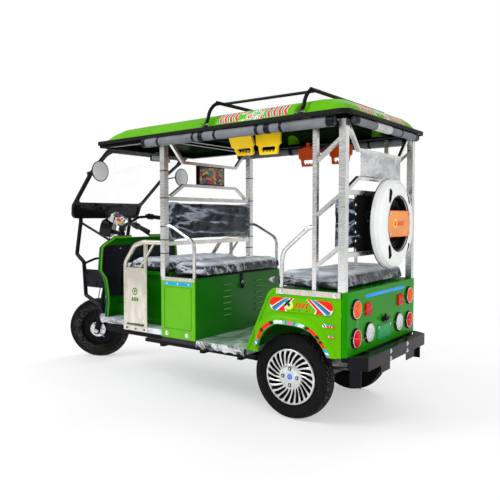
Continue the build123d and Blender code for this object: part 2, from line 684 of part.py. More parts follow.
lamp_low, lamp_high = clamp_up - 86, clamp_up + 30
with BuildPart() as headlamp:
    with BuildSketch(held_plane(0, 70, (lamp_low + lamp_high) / 2, (1, 0), (0, 1))):
        RectangleRounded(156, lamp_high - lamp_low, 34)
    extrude(amount=84, taper=-4)
    with BuildSketch(held_plane(0, 0, clamp_up - 60, (1, 0), (0, 0, 1))):
        with Locations((0, -47)):
            Rectangle(34, 60)
        Circle(27)
        Circle(17, mode=Mode.SUBTRACT)
    extrude(amount=26)

with BuildPart() as instrument_cluster:
    face = Plane(origin=held(0, 62, clamp_up + 42), x_dir=held_dir(1, 0), z_dir=held_dir(0, -0.35, 1))
    with BuildSketch(face):
        RectangleRounded(168, 104, 16)
    extrude(amount=44, taper=6)
    with BuildSketch(held_plane(0, 0, clamp_up + 22, (1, 0), (0, 0, 1))):
        with Locations((0, -12)):
            Rectangle(50, 32)
    extrude(amount=20)

# Front brake cable, and the lever's wire looped over to the instruments
cable_radius = 3.5
brake_run = ((225.4, -113, 98.7), (205, -40, 140), (150, 35, 110), (112, 58, 20), (100, 62, -90),
             (36, 62, -150), (4, 62, -220), (4, 64, -320), (40, 72, -420), (86, 68, -480), (86, 70, -720),
             (64, 92, -785), (53, 78, -822))
loop_run = ((227, -152, 108), (215, -120, 190), (150, -20, 205), (104, 40, 150), (78, 62, 64))
with BuildPart() as control_cables:
    rod([held(x, fore, clamp_up + up) for x, fore, up in brake_run], cable_radius, 16)
    rod([held(x, fore, clamp_up + up) for x, fore, up in loop_run], cable_radius, 25)
    add(hand_grips.part, mode=Mode.SUBTRACT)
    add(front_brake.part, mode=Mode.SUBTRACT)
    add(instrument_cluster.part, mode=Mode.SUBTRACT)


def tyre_profile(plane):
    with BuildSketch(plane) as profile:
        with BuildLine():
            bead, edge = 33, tyre_width / 2
            ThreePointArc((edge, crown_centre), (0, tyre_radius), (-edge, crown_centre))
            Polyline((-edge, crown_centre), (-bead, rim_radius + 11), (-bead, rim_radius), (bead, rim_radius),
                     (bead, rim_radius + 11), (edge, crown_centre))
        make_face()
    return profile.sketch


def rim_profile(plane, outer):
    """Drop-centre rim: its flange reaches just outside the tyre's bead."""
    with BuildSketch(plane) as profile:
        with BuildLine():
            Polyline((-32.9, rim_radius - 0.1), (32.9, rim_radius - 0.1), (34.5, rim_radius - 1),
                     (34.5, rim_radius - 8), (20, rim_radius - 16), (6, rim_radius - 18), (-2, 110), (2, 74),
                     (outer, 66), (outer, 12), (-34, 12), (-34, 52), (-10, 60), (-8, 110), (-4, rim_radius - 20),
                     (-20, rim_radius - 17), (-34, rim_radius - 8), close=True)
        make_face()
    return profile.sketch


hub = held(0, fork_offset, 0)
front_plane = Plane(origin=hub, x_dir=held_dir(1, 0), z_dir=held_dir(0, 1))
front_axle = Axis(hub, held_dir(1, 0))
with BuildPart() as front_tyre:
    revolve(tyre_profile(front_plane), axis=front_axle)

with BuildPart() as front_rim:
    revolve(rim_profile(front_plane, 46), axis=front_axle)

cover_edge = 159
slots, slot_mid, slot_lean, slot_long, slot_wide = 20, 112, 24, 66, 12
rear_tyres, rear_rims, wheel_covers = [], [], []
for side_sign in (1, -1):
    spin = at(side_sign * track_half, 0, tyre_radius)
    rear_plane = Plane(origin=spin, x_dir=(side_sign, 0, 0), z_dir=(0, side_sign, 0))
    with BuildPart() as rear_tyre:
        revolve(tyre_profile(rear_plane), axis=Axis(spin, (1, 0, 0)))
    with BuildPart() as rear_rim:
        revolve(rim_profile(rear_plane, 22), axis=Axis(spin, (1, 0, 0)))
    cap_plane = Plane(origin=spin, x_dir=(0, side_sign, 0), z_dir=(side_sign, 0, 0))
    with BuildPart() as wheel_cover:
        with BuildSketch(rear_plane):
            with BuildLine():
                Polyline((44, cover_edge), (49, cover_edge - 5), (51, 120), (45, 70), (47, 30), (47, 0), (43, 0),
                         (43, 28), (41, 68), (47, 118), (45, cover_edge - 12), (38, 147), (34.5, 147),
                         (34.5, 151), (38, 151), (42, cover_edge - 6), (42, cover_edge), close=True)
            make_face()
        revolve(axis=Axis(spin, (1, 0, 0)))
        with BuildSketch(cap_plane.offset(30)):
            with PolarLocations(slot_mid, slots):
                with Locations(Rot(0, 0, slot_lean)):
                    SlotOverall(slot_long, slot_wide)
            with PolarLocations(46, 4):
                Circle(11)
        extrude(amount=30, mode=Mode.SUBTRACT)
    wheel_covers.append(wheel_cover)
    rear_tyres.append(rear_tyre)
    rear_rims.append(rear_rim)

axle_half = track_half - 42
with BuildPart() as rear_axle:
    rod([at(-axle_half, 0, tyre_radius), at(axle_half, 0, tyre_radius)], 28)
    rod([at(-150, 0, tyre_radius), at(30, 0, tyre_radius)], 85)
    rod([at(-140, 0, tyre_radius), at(-140, 1, tyre_radius)], 20)
    rod([at(30, 30, tyre_radius), at(210, 30, tyre_radius)], 62)
    for side_sign in (-1, 1):
        rod([at(side_sign * axle_half, 0, tyre_radius), at(side_sign * (track_half + 10), 0, tyre_radius)], 11.6)

with BuildPart() as leaf_springs:
    for side_sign in (-1, 1):
        with BuildSketch(side(side_sign * chassis_rail_x - 14)):
            with BuildLine():
                Polyline((-325, 268), (-100, 270), (0, 268), (120, 272), (325, 296), (325, 304), (120, 288),
                         (0, 288), (-100, 286), (-325, 276), close=True)
            make_face()
        extrude(amount=28)

spare_z, spare_y = 1095, 424
spare_half = 36
cover_radius, cover_hole = 250, 155
cover_front = 468
spare_spin = at(0, spare_y, spare_z)


def around_spare(points):
    """A ring about the spare wheel's axis from (radius, y) points."""
    with BuildSketch(Plane(origin=at(0, 0, spare_z), x_dir=(0, 0, 1), z_dir=(-1, 0, 0))) as ring:
        with BuildLine():
            Polyline(*points, close=True)
        make_face()
    revolve(ring.sketch, axis=Axis(spare_spin, (0, 1, 0)))


with BuildPart() as spare_tyre:
    around_spare([(rim_radius + 4, spare_y - 28), (195, spare_y - spare_half), (226, spare_y - 28),
                  (240, spare_y - 10), (240, spare_y + 10), (226, spare_y + 22), (195, spare_y + 27),
                  (rim_radius + 4, spare_y + 26)])

with BuildPart() as spare_rim:
    around_spare([(rim_radius + 3.7, spare_y - 30), (rim_radius + 3.7, spare_y + 28),
                  (rim_radius - 8, spare_y + 28), (rim_radius - 14, spare_y - 6), (100, spare_y - 20),
                  (60, spare_y - 24), (60, spare_y - 30), (100, spare_y - 26), (rim_radius - 14, spare_y - 30)])
    block((-20, 20), (rear_post_y + 4.5, rear_post_y + 12), (spare_z - 170, spare_z + 180))
    block((-100, 100), (rear_post_y + 12, spare_y - 24), (spare_z - 15, spare_z + 15))

with BuildPart() as spare_cover:
    around_spare([(cover_radius, 398), (cover_radius, 424), (240, 446), (222, 459), (200, 466), (180, cover_front),
                  (cover_hole + 8, cover_front - 2), (cover_hole, cover_front - 8),
                  (cover_hole, spare_y + 28.4), (cover_hole + 3, spare_y + 28.4),
                  (cover_hole + 3, cover_front - 9), (cover_hole + 9, cover_front - 5),
                  (180, cover_front - 3), (199, 463), (220, 456), (237, 444), (247, 423), (247, 398)])
    with BuildSketch(across(cover_front + 5)):
        for angle in (50, 130, 230, 310):
            turned = Rot(0, 0, angle) * Location((198, 0)) * Rot(0, 0, 65 if angle in (50, 230) else 115)
            with Locations(Location((0, spare_z)) * turned):
                SlotOverall(86, 30)
    extrude(amount=22, mode=Mode.SUBTRACT)

with BuildPart() as spare_label:
    with BuildSketch(across(cover_front - 3)) as label:
        with Locations((0, spare_z)):
            Circle(cover_hole)
            Rectangle(330, 146, mode=Mode.INTERSECT)
    extrude(amount=4)

parts = {
    "chassis_frame": chassis_frame, "floor_deck": floor_deck, "driver_floor": driver_floor,
    "middle_box": middle_box, "battery_block": battery_block, "driver_box": driver_box,
    "seat_lid": seat_lid, "middle_cushion": middle_cushion, "driver_cushion": driver_cushion,
    "rear_cushion": rear_cushion, "rear_side_panels": rear_side_panels, "rear_panel": rear_panel,
    "rear_seat_base": rear_seat_base, "sill_strips": sill_strips, "rear_lamps": rear_lamps,
    "number_plate": number_plate, "rear_bumper": rear_bumper, "body_posts": body_posts, "roof_frame": roof_frame,
    "roof_panel": roof_panel, "roof_trim": roof_trim, "roof_rack": roof_rack,
    "curtain_rolls": curtain_rolls, "grab_handles": grab_handles, "backrest_frames": backrest_frames,
    "backrests": backrests, "sign_boards": sign_boards, "grab_rails": grab_rails,
    "door_guards": door_guards, "windshield_frame": windshield_frame,
    "windshield_glass": windshield_glass, "windshield_apron": windshield_apron, "mirrors": mirrors,
    "front_guard": front_guard, "leg_shield": leg_shield, "shield_pocket": shield_pocket,
    "steering_fork": steering_fork, "front_brake": front_brake, "handlebar": handlebar,
    "hand_grips": hand_grips, "headlamp": headlamp,
    "instrument_cluster": instrument_cluster, "control_cables": control_cables,
    "front_tyre": front_tyre, "front_rim": front_rim,
    "rear_tyre_left": rear_tyres[0], "rear_rim_left": rear_rims[0], "rear_tyre_right": rear_tyres[1],
    "rear_rim_right": rear_rims[1], "wheel_cover_left": wheel_covers[0],
    "wheel_cover_right": wheel_covers[1], "rear_axle": rear_axle, "leaf_springs": leaf_springs,
    "spare_tyre": spare_tyre, "spare_rim": spare_rim, "spare_cover": spare_cover,
    "spare_label": spare_label,
}
os.makedirs("parts", exist_ok=True)
for name, built in parts.items():
    built.part.label = name
    export_step(built.part, f"parts/{name}.step")
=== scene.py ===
import json
import math
import random

import bmesh
import bpy
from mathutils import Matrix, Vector, noise


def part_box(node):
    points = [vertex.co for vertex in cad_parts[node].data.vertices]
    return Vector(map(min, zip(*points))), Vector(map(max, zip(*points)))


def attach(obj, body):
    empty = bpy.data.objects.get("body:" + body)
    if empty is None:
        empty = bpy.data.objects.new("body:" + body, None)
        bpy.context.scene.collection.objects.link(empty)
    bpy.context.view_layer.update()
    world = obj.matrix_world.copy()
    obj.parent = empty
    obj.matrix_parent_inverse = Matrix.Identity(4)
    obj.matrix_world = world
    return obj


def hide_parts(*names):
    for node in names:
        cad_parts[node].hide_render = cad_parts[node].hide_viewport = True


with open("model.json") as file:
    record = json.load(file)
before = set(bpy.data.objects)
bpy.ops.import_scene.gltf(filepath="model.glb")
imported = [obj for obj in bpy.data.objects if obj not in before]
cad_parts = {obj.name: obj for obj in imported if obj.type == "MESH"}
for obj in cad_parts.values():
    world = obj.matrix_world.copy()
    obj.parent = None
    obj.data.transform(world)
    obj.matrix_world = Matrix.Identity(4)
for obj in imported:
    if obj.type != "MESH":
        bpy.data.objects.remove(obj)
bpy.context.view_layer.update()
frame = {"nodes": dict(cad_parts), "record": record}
nodes = frame["nodes"]
joints = {joint["name"]: joint for joint in frame["record"]["behaviour"]["joints"]}
scene = bpy.context.scene
axleLow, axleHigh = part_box("rear_tyre_left")
rearY = (axleLow.y + axleHigh.y) / 2
axleZ = (axleLow.z + axleHigh.z) / 2
print("frame loaded")


def at(x, y, z):
    return Vector((x, rearY + y, z))


# Shader helpers: a node with its settings, and the effect groups that the materials share
def feed(tree, made, values):
    for key, value in values.items():
        if isinstance(value, bpy.types.NodeSocket):
            tree.links.new(value, made.inputs[key])
        else:
            made.inputs[key].default_value = value
    return made


def addNode(tree, kind, inputs=None, **settings):
    made = tree.nodes.new("ShaderNode" + kind)
    for key, value in settings.items():
        setattr(made, key, value)
    return feed(tree, made, inputs or {})


def newGroup(name, inputs, outputs):
    group = bpy.data.node_groups.new(name, "ShaderNodeTree")
    for socketName, kind, value in inputs:
        socket = group.interface.new_socket(socketName, in_out="INPUT", socket_type="NodeSocket" + kind)
        if value is not None:
            socket.default_value = value
    for socketName, kind in outputs:
        group.interface.new_socket(socketName, in_out="OUTPUT", socket_type="NodeSocket" + kind)
    return group, group.nodes.new("NodeGroupInput").outputs, group.nodes.new("NodeGroupOutput").inputs


def useGroup(tree, group, inputs):
    made = tree.nodes.new("ShaderNodeGroup")
    made.node_tree = group
    return feed(tree, made, inputs).outputs


def mathNode(tree, operation, first, second=0.0, clamp=False):
    return addNode(tree, "Math", {0: first, 1: second}, operation=operation, use_clamp=clamp).outputs[0]


def spread(tree, value, low, high, start, end):
    return addNode(tree, "MapRange", {"Value": value, "From Min": low, "From Max": high,
                                      "To Min": start, "To Max": end}).outputs["Result"]


def mixColor(tree, factor, *colors):
    ends = [color if isinstance(color, bpy.types.NodeSocket) else (*color[:3], 1) for color in colors]
    return addNode(tree, "Mix", {0: factor, 6: ends[0], 7: ends[1]}, data_type="RGBA").outputs[2]


def noiseOf(tree, vector, scale, detail, output="Fac", **more):
    return addNode(tree, "TexNoise", {"Vector": vector, "Scale": scale, "Detail": detail, **more}).outputs[output]


def splitOf(tree, vector):
    return addNode(tree, "SeparateXYZ", {"Vector": vector}).outputs


# Object space bent by a soft noise
def warped(tree, vector, scale, detail, reach):
    return addNode(tree, "VectorMath", {0: noiseOf(tree, vector, scale, detail, "Color"), 1: (reach,) * 3, 2: vector},
                   operation="MULTIPLY_ADD").outputs["Vector"]


def bumpOf(tree, height, distance, strength=1.0):
    return addNode(tree, "Bump", {"Height": height, "Distance": distance, "Strength": strength}).outputs["Normal"]


# Colour ramp of hard steps, from (position, colour) pairs
def stepRamp(tree, value, stops):
    made = addNode(tree, "ValToRGB", {"Fac": value})
    elements = made.color_ramp.elements
    made.color_ramp.interpolation = "CONSTANT"
    while len(elements) < len(stops):
        elements.new(0.5)
    for element, (position, color) in zip(elements, stops):
        element.position, element.color = position, (*color, 1)
    return made.outputs["Color"]


# Colour that drifts lighter and darker over a surface
uneven, groupIn, groupOut = newGroup("unevenTone", [
    ("Vector", "Vector", None), ("Color", "Color", None), ("Scale", "Float", 5.0), ("Amount", "Float", 0.1),
], [("Color", "Color"), ("Fac", "Float")])
broad = noiseOf(uneven, groupIn["Vector"], groupIn["Scale"], 5.0)
swing = mathNode(uneven, "MULTIPLY", spread(uneven, broad, 0.3, 0.7, -1.0, 1.0), groupIn["Amount"])
toned = addNode(uneven, "HueSaturation", {"Value": mathNode(uneven, "ADD", swing, 1.0), "Color": groupIn["Color"]})
uneven.links.new(toned.outputs["Color"], groupOut["Color"])
uneven.links.new(broad, groupOut["Fac"])

# Fine raised grain
grain, groupIn, groupOut = newGroup("fineGrain", [
    ("Vector", "Vector", None), ("Scale", "Float", 400.0), ("Height", "Float", 0.0005),
], [("Normal", "Vector")])
speck = noiseOf(grain, groupIn["Vector"], groupIn["Scale"], 3.0)
grain.links.new(bumpOf(grain, speck, groupIn["Height"]), groupOut["Normal"])

# Sharp ridges of creased plastic film
creases, groupIn, groupOut = newGroup("filmCreases", [
    ("Vector", "Vector", None), ("Scale", "Float", 8.0), ("Sharpness", "Float", 6.0),
], [("Ridge", "Float")])
folds = noiseOf(creases, warped(creases, groupIn["Vector"], 3.0, 2.0, 0.35), groupIn["Scale"], 4.0, Roughness=0.55)
centred = mathNode(creases, "ABSOLUTE", mathNode(creases, "SUBTRACT", folds, 0.5))
ridge = mathNode(creases, "SUBTRACT", 1.0, mathNode(creases, "MULTIPLY", centred, groupIn["Sharpness"]), clamp=True)
creases.links.new(ridge, groupOut["Ridge"])

# One inside a box of object space, zero outside it
insideBox, groupIn, groupOut = newGroup("insideBox", [
    ("Vector", "Vector", None), ("Low", "Vector", None), ("High", "Vector", None),
], [("Mask", "Float")])
split, lowSplit, highSplit = (splitOf(insideBox, groupIn[name]) for name in ("Vector", "Low", "High"))
mask = 1.0
for axis in "XYZ":
    above = mathNode(insideBox, "GREATER_THAN", split[axis], lowSplit[axis])
    below = mathNode(insideBox, "LESS_THAN", split[axis], highSplit[axis])
    mask = mathNode(insideBox, "MULTIPLY", mask, mathNode(insideBox, "MULTIPLY", above, below))
insideBox.links.new(mask, groupOut["Mask"])

looks = {}


def newLook(name):
    looks[name] = material = bpy.data.materials.new(name)
    material.use_nodes = True
    tree = material.node_tree
    return tree, tree.nodes["Principled BSDF"], addNode(tree, "TexCoord").outputs["Object"]


# Settings by the shader's input names, with an underscore for each space
def setShader(tree, shader, **values):
    feed(tree, shader, {key.replace("_", " "): value for key, value in values.items()})


def toneOf(tree, place, color, scale, amount):
    whole = color if isinstance(color, bpy.types.NodeSocket) else (*color, 1)
    return useGroup(tree, uneven, {"Vector": place, "Color": whole, "Scale": scale, "Amount": amount})


# Reflections off a coloured plastic or paint take some of its colour
def tintOf(color):
    return (*[0.1 + 0.9 * channel / max(color) for channel in color], 1)


def paintLook(name, color, roughness, amount, coat=0.02, peel=0.00012, specular=0.1):
    tree, shader, place = newLook(name)
    toned = toneOf(tree, place, color, 3.0, amount)
    bumps = useGroup(tree, grain, {"Vector": place, "Scale": 160.0, "Height": peel})
    setShader(tree, shader, Base_Color=toned["Color"], Normal=bumps["Normal"], Coat_Weight=coat, Coat_Roughness=0.08,
              Roughness=spread(tree, toned["Fac"], 0.3, 0.7, roughness * 0.75, roughness * 1.3),
              Specular_IOR_Level=specular, Specular_Tint=tintOf(color))


def metalLook(name, color, roughness, streak=(1, 1, 14), amount=0.14):
    tree, shader, place = newLook(name)
    stretched = addNode(tree, "Mapping", {"Vector": place, "Scale": streak}).outputs["Vector"]
    lines = noiseOf(tree, stretched, 22.0, 6.0)
    toned = toneOf(tree, place, color, 9.0, amount)
    dull = mixColor(tree, spread(tree, lines, 0.35, 0.7, 0.0, 0.2), toned["Color"],
                    [channel * 0.55 for channel in color])
    setShader(tree, shader, Base_Color=dull, Normal=bumpOf(tree, lines, 0.0001), Metallic=1.0,
              Roughness=spread(tree, lines, 0.3, 0.7, roughness * 0.6, roughness * 1.5))


def plasticLook(name, color, roughness, amount=0.1, scale=300.0, height=0.0002, coat=0.0, shine=0.22):
    tree, shader, place = newLook(name)
    toned = toneOf(tree, place, color, 7.0, amount)
    bumps = useGroup(tree, grain, {"Vector": place, "Scale": scale, "Height": height})
    setShader(tree, shader, Base_Color=toned["Color"], Normal=bumps["Normal"], Coat_Weight=coat,
              Roughness=spread(tree, toned["Fac"], 0.3, 0.7, roughness * 0.8, roughness * 1.25),
              Specular_IOR_Level=shine, Specular_Tint=tintOf(color))


# Clear film over a coloured base: creases in two directions drawn in a light colour as painted highlights, painted
# sheen in patches, and more painted sheen on a top above topAt, where the top faces the light.
# Past edgeX to the sides the film ends and a dark edge shows.
def filmLook(name, color, highlightColor, scale, sharp, height=0.004, amount=0.85, sheenShare=0.12, roughness=0.16, metallic=0.0,
             turns=(0.5, -0.35), stretch=(1.0, 0.22, 1.0), topAt=None, topSheen=0.95, edgeX=None):
    tree, shader, place = newLook(name)
    lines = 0.0
    for index, turn in enumerate(turns):
        turned = addNode(tree, "Mapping", {"Vector": place, "Rotation": (turn, turn * 1.6, turn), "Scale": stretch,
                                           "Location": (index * 3.1, 0.7, index * 1.9)}).outputs["Vector"]
        folds = useGroup(tree, creases, {"Vector": warped(tree, turned, 2.0, 1.0, 0.16),
                                         "Scale": scale * (1 + index), "Sharpness": sharp})
        gate = spread(tree, noiseOf(tree, turned, scale * 1.3, 2.0), 0.4, 0.54, 0.0, 1.0)
        lines = mathNode(tree, "MAXIMUM", lines, mathNode(tree, "MULTIPLY", folds["Ridge"], gate))
    base = toneOf(tree, place, color, 12.0, 0.25)["Color"]
    broad = noiseOf(tree, place, 9.0, 3.0)
    # Painted sheen: patches of the light colour where the broad noise is high
    sheenMask = mathNode(tree, "MULTIPLY", spread(tree, broad, 0.46, 0.66, 0.0, 1.0), sheenShare)
    if edgeX is not None:
        rim = mathNode(tree, "GREATER_THAN", mathNode(tree, "ABSOLUTE", splitOf(tree, place)["X"]), edgeX)
        base = mixColor(tree, rim, base, (0.004, 0.004, 0.005))
        covered = mathNode(tree, "SUBTRACT", 1.0, rim)
        sheenMask, lines = (mathNode(tree, "MULTIPLY", value, covered) for value in (sheenMask, lines))
    # A top above topAt gets more painted sheen: a painted highlight on the lit top
    if topAt is not None:
        flat = spread(tree, splitOf(tree, place)["Z"], topAt - 0.02, topAt - 0.006, 0.0, 1.0)
        patch = mathNode(tree, "MULTIPLY", spread(tree, broad, 0.36, 0.56, 0.6, 1.0), topSheen)
        sheenMask = mathNode(tree, "MAXIMUM", sheenMask, mathNode(tree, "MULTIPLY", flat, patch))
    # The crease lines take the light colour as painted highlights over the painted sheen
    sheened = mixColor(tree, sheenMask, base, [channel * 0.88 for channel in highlightColor])
    highlighted = mixColor(tree, mathNode(tree, "MULTIPLY", lines, amount), sheened, highlightColor)
    setShader(tree, shader, Base_Color=highlighted, Normal=bumpOf(tree, mathNode(tree, "ADD", lines, broad), height, 0.8),
              Roughness=roughness, Metallic=metallic, Coat_Weight=0.2, Coat_Roughness=0.07, Specular_IOR_Level=0.3)


lime, deepGreen = (0.105, 0.41, 0.002), (0.006, 0.15, 0.003)
# seatHighlight is the light colour of the seats' painted highlights and painted sheen
seatBase, seatHighlight = (0.007, 0.01, 0.018), (0.82, 0.9, 1.0)
# Each row: colour, roughness, how much the tone drifts, and what else differs from the plain kind
paints = {
    # The rear panel's green is the lime paint made darker: painted shade on the rear face
    "limePaint": (lime, 0.16, 0.1), "deepPaint": (deepGreen, 0.18, 0.14), "rearPaint": ((0.012, 0.24, 0.0), 0.18, 0.14),
    # A pale green for the louvre lips: painted highlight
    "pressedEdge": ((0.28, 0.62, 0.16), 0.2, 0.1),
    "blackPaint": ((0.004, 0.004, 0.005), 0.24, 0.2, 0.03, 0.00012, 0.13),
    "blackSteel": ((0.005, 0.005, 0.006), 0.4, 0.25, 0.0, 0.0003, 0.12),
}
# Colour, roughness, stretch of the streaks, drift
metals = {
    "stainless": ((0.9, 0.9, 0.89), 0.24), "chrome": ((0.8, 0.8, 0.8), 0.1, (1, 1, 14), 0.05),
    "wheelSilver": ((0.82, 0.82, 0.82), 0.3, (1, 1, 1), 0.08),
    "creamSteel": ((0.74, 0.69, 0.6), 0.26, (1, 1, 0.4), 0.05),
    "greyIron": ((0.25, 0.25, 0.25), 0.5, (1, 1, 1)),
}
# Colour, roughness, drift, grain scale, grain height
dullPlastics = {
    "blackPlastic": ((0.008, 0.008, 0.009), 0.35), "trimRubber": ((0.008, 0.008, 0.008), 0.5),
    "blackRexine": ((0.008, 0.009, 0.013), 0.3, 0.25, 700.0, 0.0005), "cableBlack": ((0.01, 0.01, 0.01), 0.4),
    # Near black for the insides of holes: painted shade
    "darkHole": ((0.004, 0.004, 0.005), 0.7),
}
plastics = {
    "greyRexine": ((0.16, 0.17, 0.185), 0.48, 0.3, 900.0, 0.0005), "violetEdge": ((0.03, 0.015, 0.12), 0.35, 0.2),
    "cord": ((0.42, 0.43, 0.42), 0.6, 0.2, 900.0, 0.0003),
}
glossPlastics = {
    "whitePlastic": ((0.8, 0.81, 0.8), 0.22, 0.03), "yellowPlastic": ((1.0, 0.66, 0.002), 0.3, 0.06),
    "orangePlastic": ((0.9, 0.09, 0.003), 0.3, 0.08), "labelPlastic": ((0.83, 0.3, 0.08), 0.3, 0.1),
    "bluePlastic": ((0.02, 0.25, 0.75), 0.25, 0.1), "redVinyl": ((0.78, 0.02, 0.015), 0.25, 0.1),
    "whiteVinyl": ((0.75, 0.8, 0.84), 0.25, 0.08), "greyVinyl": ((0.3, 0.36, 0.42), 0.25, 0.2),
    "blackVinyl": ((0.01, 0.01, 0.012), 0.25, 0.1), "yellowVinyl": ((0.8, 0.75, 0.06), 0.25, 0.1),
    "skyVinyl": ((0.01, 0.3, 0.85), 0.25, 0.15), "tealVinyl": ((0.0, 0.35, 0.33), 0.25, 0.1),
    "pinkVinyl": ((0.8, 0.12, 0.3), 0.25, 0.1), "plateGreen": ((0.0, 0.3, 0.075), 0.3, 0.05),
}
# Base, light colour of the painted highlights and painted sheen, scale and sharpness of the creases, then what differs
films = {
    "wrappedMiddle": (seatBase, seatHighlight, 6.5, 26.0, {"topAt": 0.842, "sheenShare": 0.05}),
    "wrappedDriver": (seatBase, seatHighlight, 7.0, 26.0, {"topAt": 0.85, "sheenShare": 0.05}),
    "wrappedRear": (seatBase, seatHighlight, 6.5, 26.0, {"topAt": 0.83, "sheenShare": 0.03, "amount": 0.4}),
    "wrappedBack": ((0.006, 0.009, 0.017), (0.66, 0.76, 0.9), 3.4, 27.0,
                    {"sheenShare": 0.06, "amount": 0.6, "turns": (0.5, 0.3), "stretch": (0.3, 1.0, 1.2)}),
    "floorFilm": ((0.17, 0.3, 0.2), (0.72, 0.84, 0.78), 4.0, 16.0,
                  {"height": 0.0015, "amount": 0.6, "sheenShare": 0.5, "roughness": 0.14, "stretch": (0.35, 1.0, 1.0),
                   "turns": (0.2, -0.1), "edgeX": 0.4647}),
    "trayFilm": ((0.4, 0.47, 0.55), (0.9, 0.93, 0.96), 6.0, 12.0, {"height": 0.003, "amount": 0.8, "sheenShare": 0.6}),
    "signFilm": ((0.42, 0.43, 0.44), (0.85, 0.87, 0.88), 7.0, 9.0,
                 {"amount": 0.7, "sheenShare": 0.4, "roughness": 0.3, "metallic": 0.35, "stretch": (0.6, 1.0, 1.0)}),
    "edgeFilm": ((0.035, 0.038, 0.045), (0.78, 0.81, 0.84), 14.0, 8.0,
                 {"height": 0.005, "amount": 0.8, "sheenShare": 0.35, "roughness": 0.22, "stretch": (1.0, 0.7, 1.0)}),
}
for rows, makeLook, shared in ((paints, paintLook, {}), (metals, metalLook, {}), (plastics, plasticLook, {}),
                               (dullPlastics, plasticLook, {"shine": 0.12}),
                               (glossPlastics, plasticLook, {"coat": 0.06})):
    for name, row in rows.items():
        makeLook(name, *row, **shared)
plasticLook("glossPlastic", (0.006, 0.006, 0.007), 0.16, coat=0.15, shine=0.2)
for name, (base, highlightColor, scale, sharp, more) in films.items():
    filmLook(name, base, highlightColor, scale, sharp, **more)


def tyreLook():
    tree, shader, place = newLook("tyreRubber")
    toned = toneOf(tree, place, (0.006, 0.006, 0.0065), 7.0, 0.3)
    cells = addNode(tree, "TexVoronoi", {"Vector": place, "Scale": 55.0}, feature="DISTANCE_TO_EDGE")
    facing = splitOf(tree, addNode(tree, "NewGeometry").outputs["Normal"])
    tread = spread(tree, mathNode(tree, "ABSOLUTE", facing["X"]), 0.9, 0.7, 0.0, 1.0)
    worn = mathNode(tree, "MULTIPLY", tread, spread(tree, cells.outputs["Distance"], 0.08, 0.2, 0.0, 1.0))
    setShader(tree, shader, Base_Color=mixColor(tree, worn, toned["Color"], (0.075, 0.07, 0.06)),
              Normal=bumpOf(tree, worn, 0.003), Roughness=0.5, Specular_IOR_Level=0.08)


def lensLook(name, color, deep, scale):
    tree, shader, place = newLook(name)
    cells = addNode(tree, "TexVoronoi", {"Vector": place, "Scale": scale}, feature="F1")
    rim = spread(tree, cells.outputs["Distance"], 0.0, 0.7, 1.0, 0.0)
    setShader(tree, shader, Base_Color=mixColor(tree, rim, deep, color), Normal=bumpOf(tree, rim, 0.002), Roughness=0.2,
              Coat_Weight=0.04, Coat_Roughness=0.05, Specular_IOR_Level=0.15, Specular_Tint=tintOf(color))


# Surfaces with no more than a slow drift of tone, such as glass
def plainLook(name, color, scale, amount, **values):
    tree, shader, place = newLook(name)
    setShader(tree, shader, Base_Color=toneOf(tree, place, color, scale, amount)["Color"], **values)


# Patchwork of plain coloured cells
def printLook(name, colors, scale):
    tree, shader, place = newLook(name)
    cells = addNode(tree, "TexVoronoi", {"Vector": warped(tree, place, scale * 0.35, 1.0, 0.12), "Scale": scale},
                    feature="F1")
    pick = addNode(tree, "SeparateColor", {"Color": cells.outputs["Color"]}).outputs["Red"]
    stops = [(index / len(colors), color) for index, color in enumerate(colors)]
    setShader(tree, shader, Base_Color=stepRamp(tree, pick, stops), Roughness=0.22, Coat_Weight=0.8,
              Coat_Roughness=0.05)


roofPrint = {
    "petalStops": ((0.0, (0.8, 0.6, 0.1)), (0.14, (0.75, 0.05, 0.12)), (0.32, (0.85, 0.8, 0.78)),
                   (0.42, (0.02, 0.3, 0.2)), (0.5, (0.8, 0.82, 0.8))),
    "stripeStops": ((0.0, (0.75, 0.03, 0.05)), (0.42, (0.85, 0.82, 0.8)), (0.55, (0.4, 0.45, 0.5)),
                    (0.66, (0.85, 0.82, 0.8)), (0.78, (0.03, 0.4, 0.1))),
    # Lowest and highest corner of each printed zone, and whether it holds petals
    "zones": (
        (at(0.4, -0.46, 1.672), at(0.52, -0.31, 1.735), False), (at(0.4, -0.3, 1.672), at(0.52, -0.13, 1.735), True),
        (at(0.4, -0.12, 1.674), at(0.52, 0.03, 1.74), False), (at(-0.34, 0.27, 1.69), at(-0.12, 0.42, 1.75), False),
        (at(-0.11, 0.27, 1.69), at(0.1, 0.42, 1.75), True), (at(0.11, 0.27, 1.69), at(0.3, 0.42, 1.75), False),
    ),
}


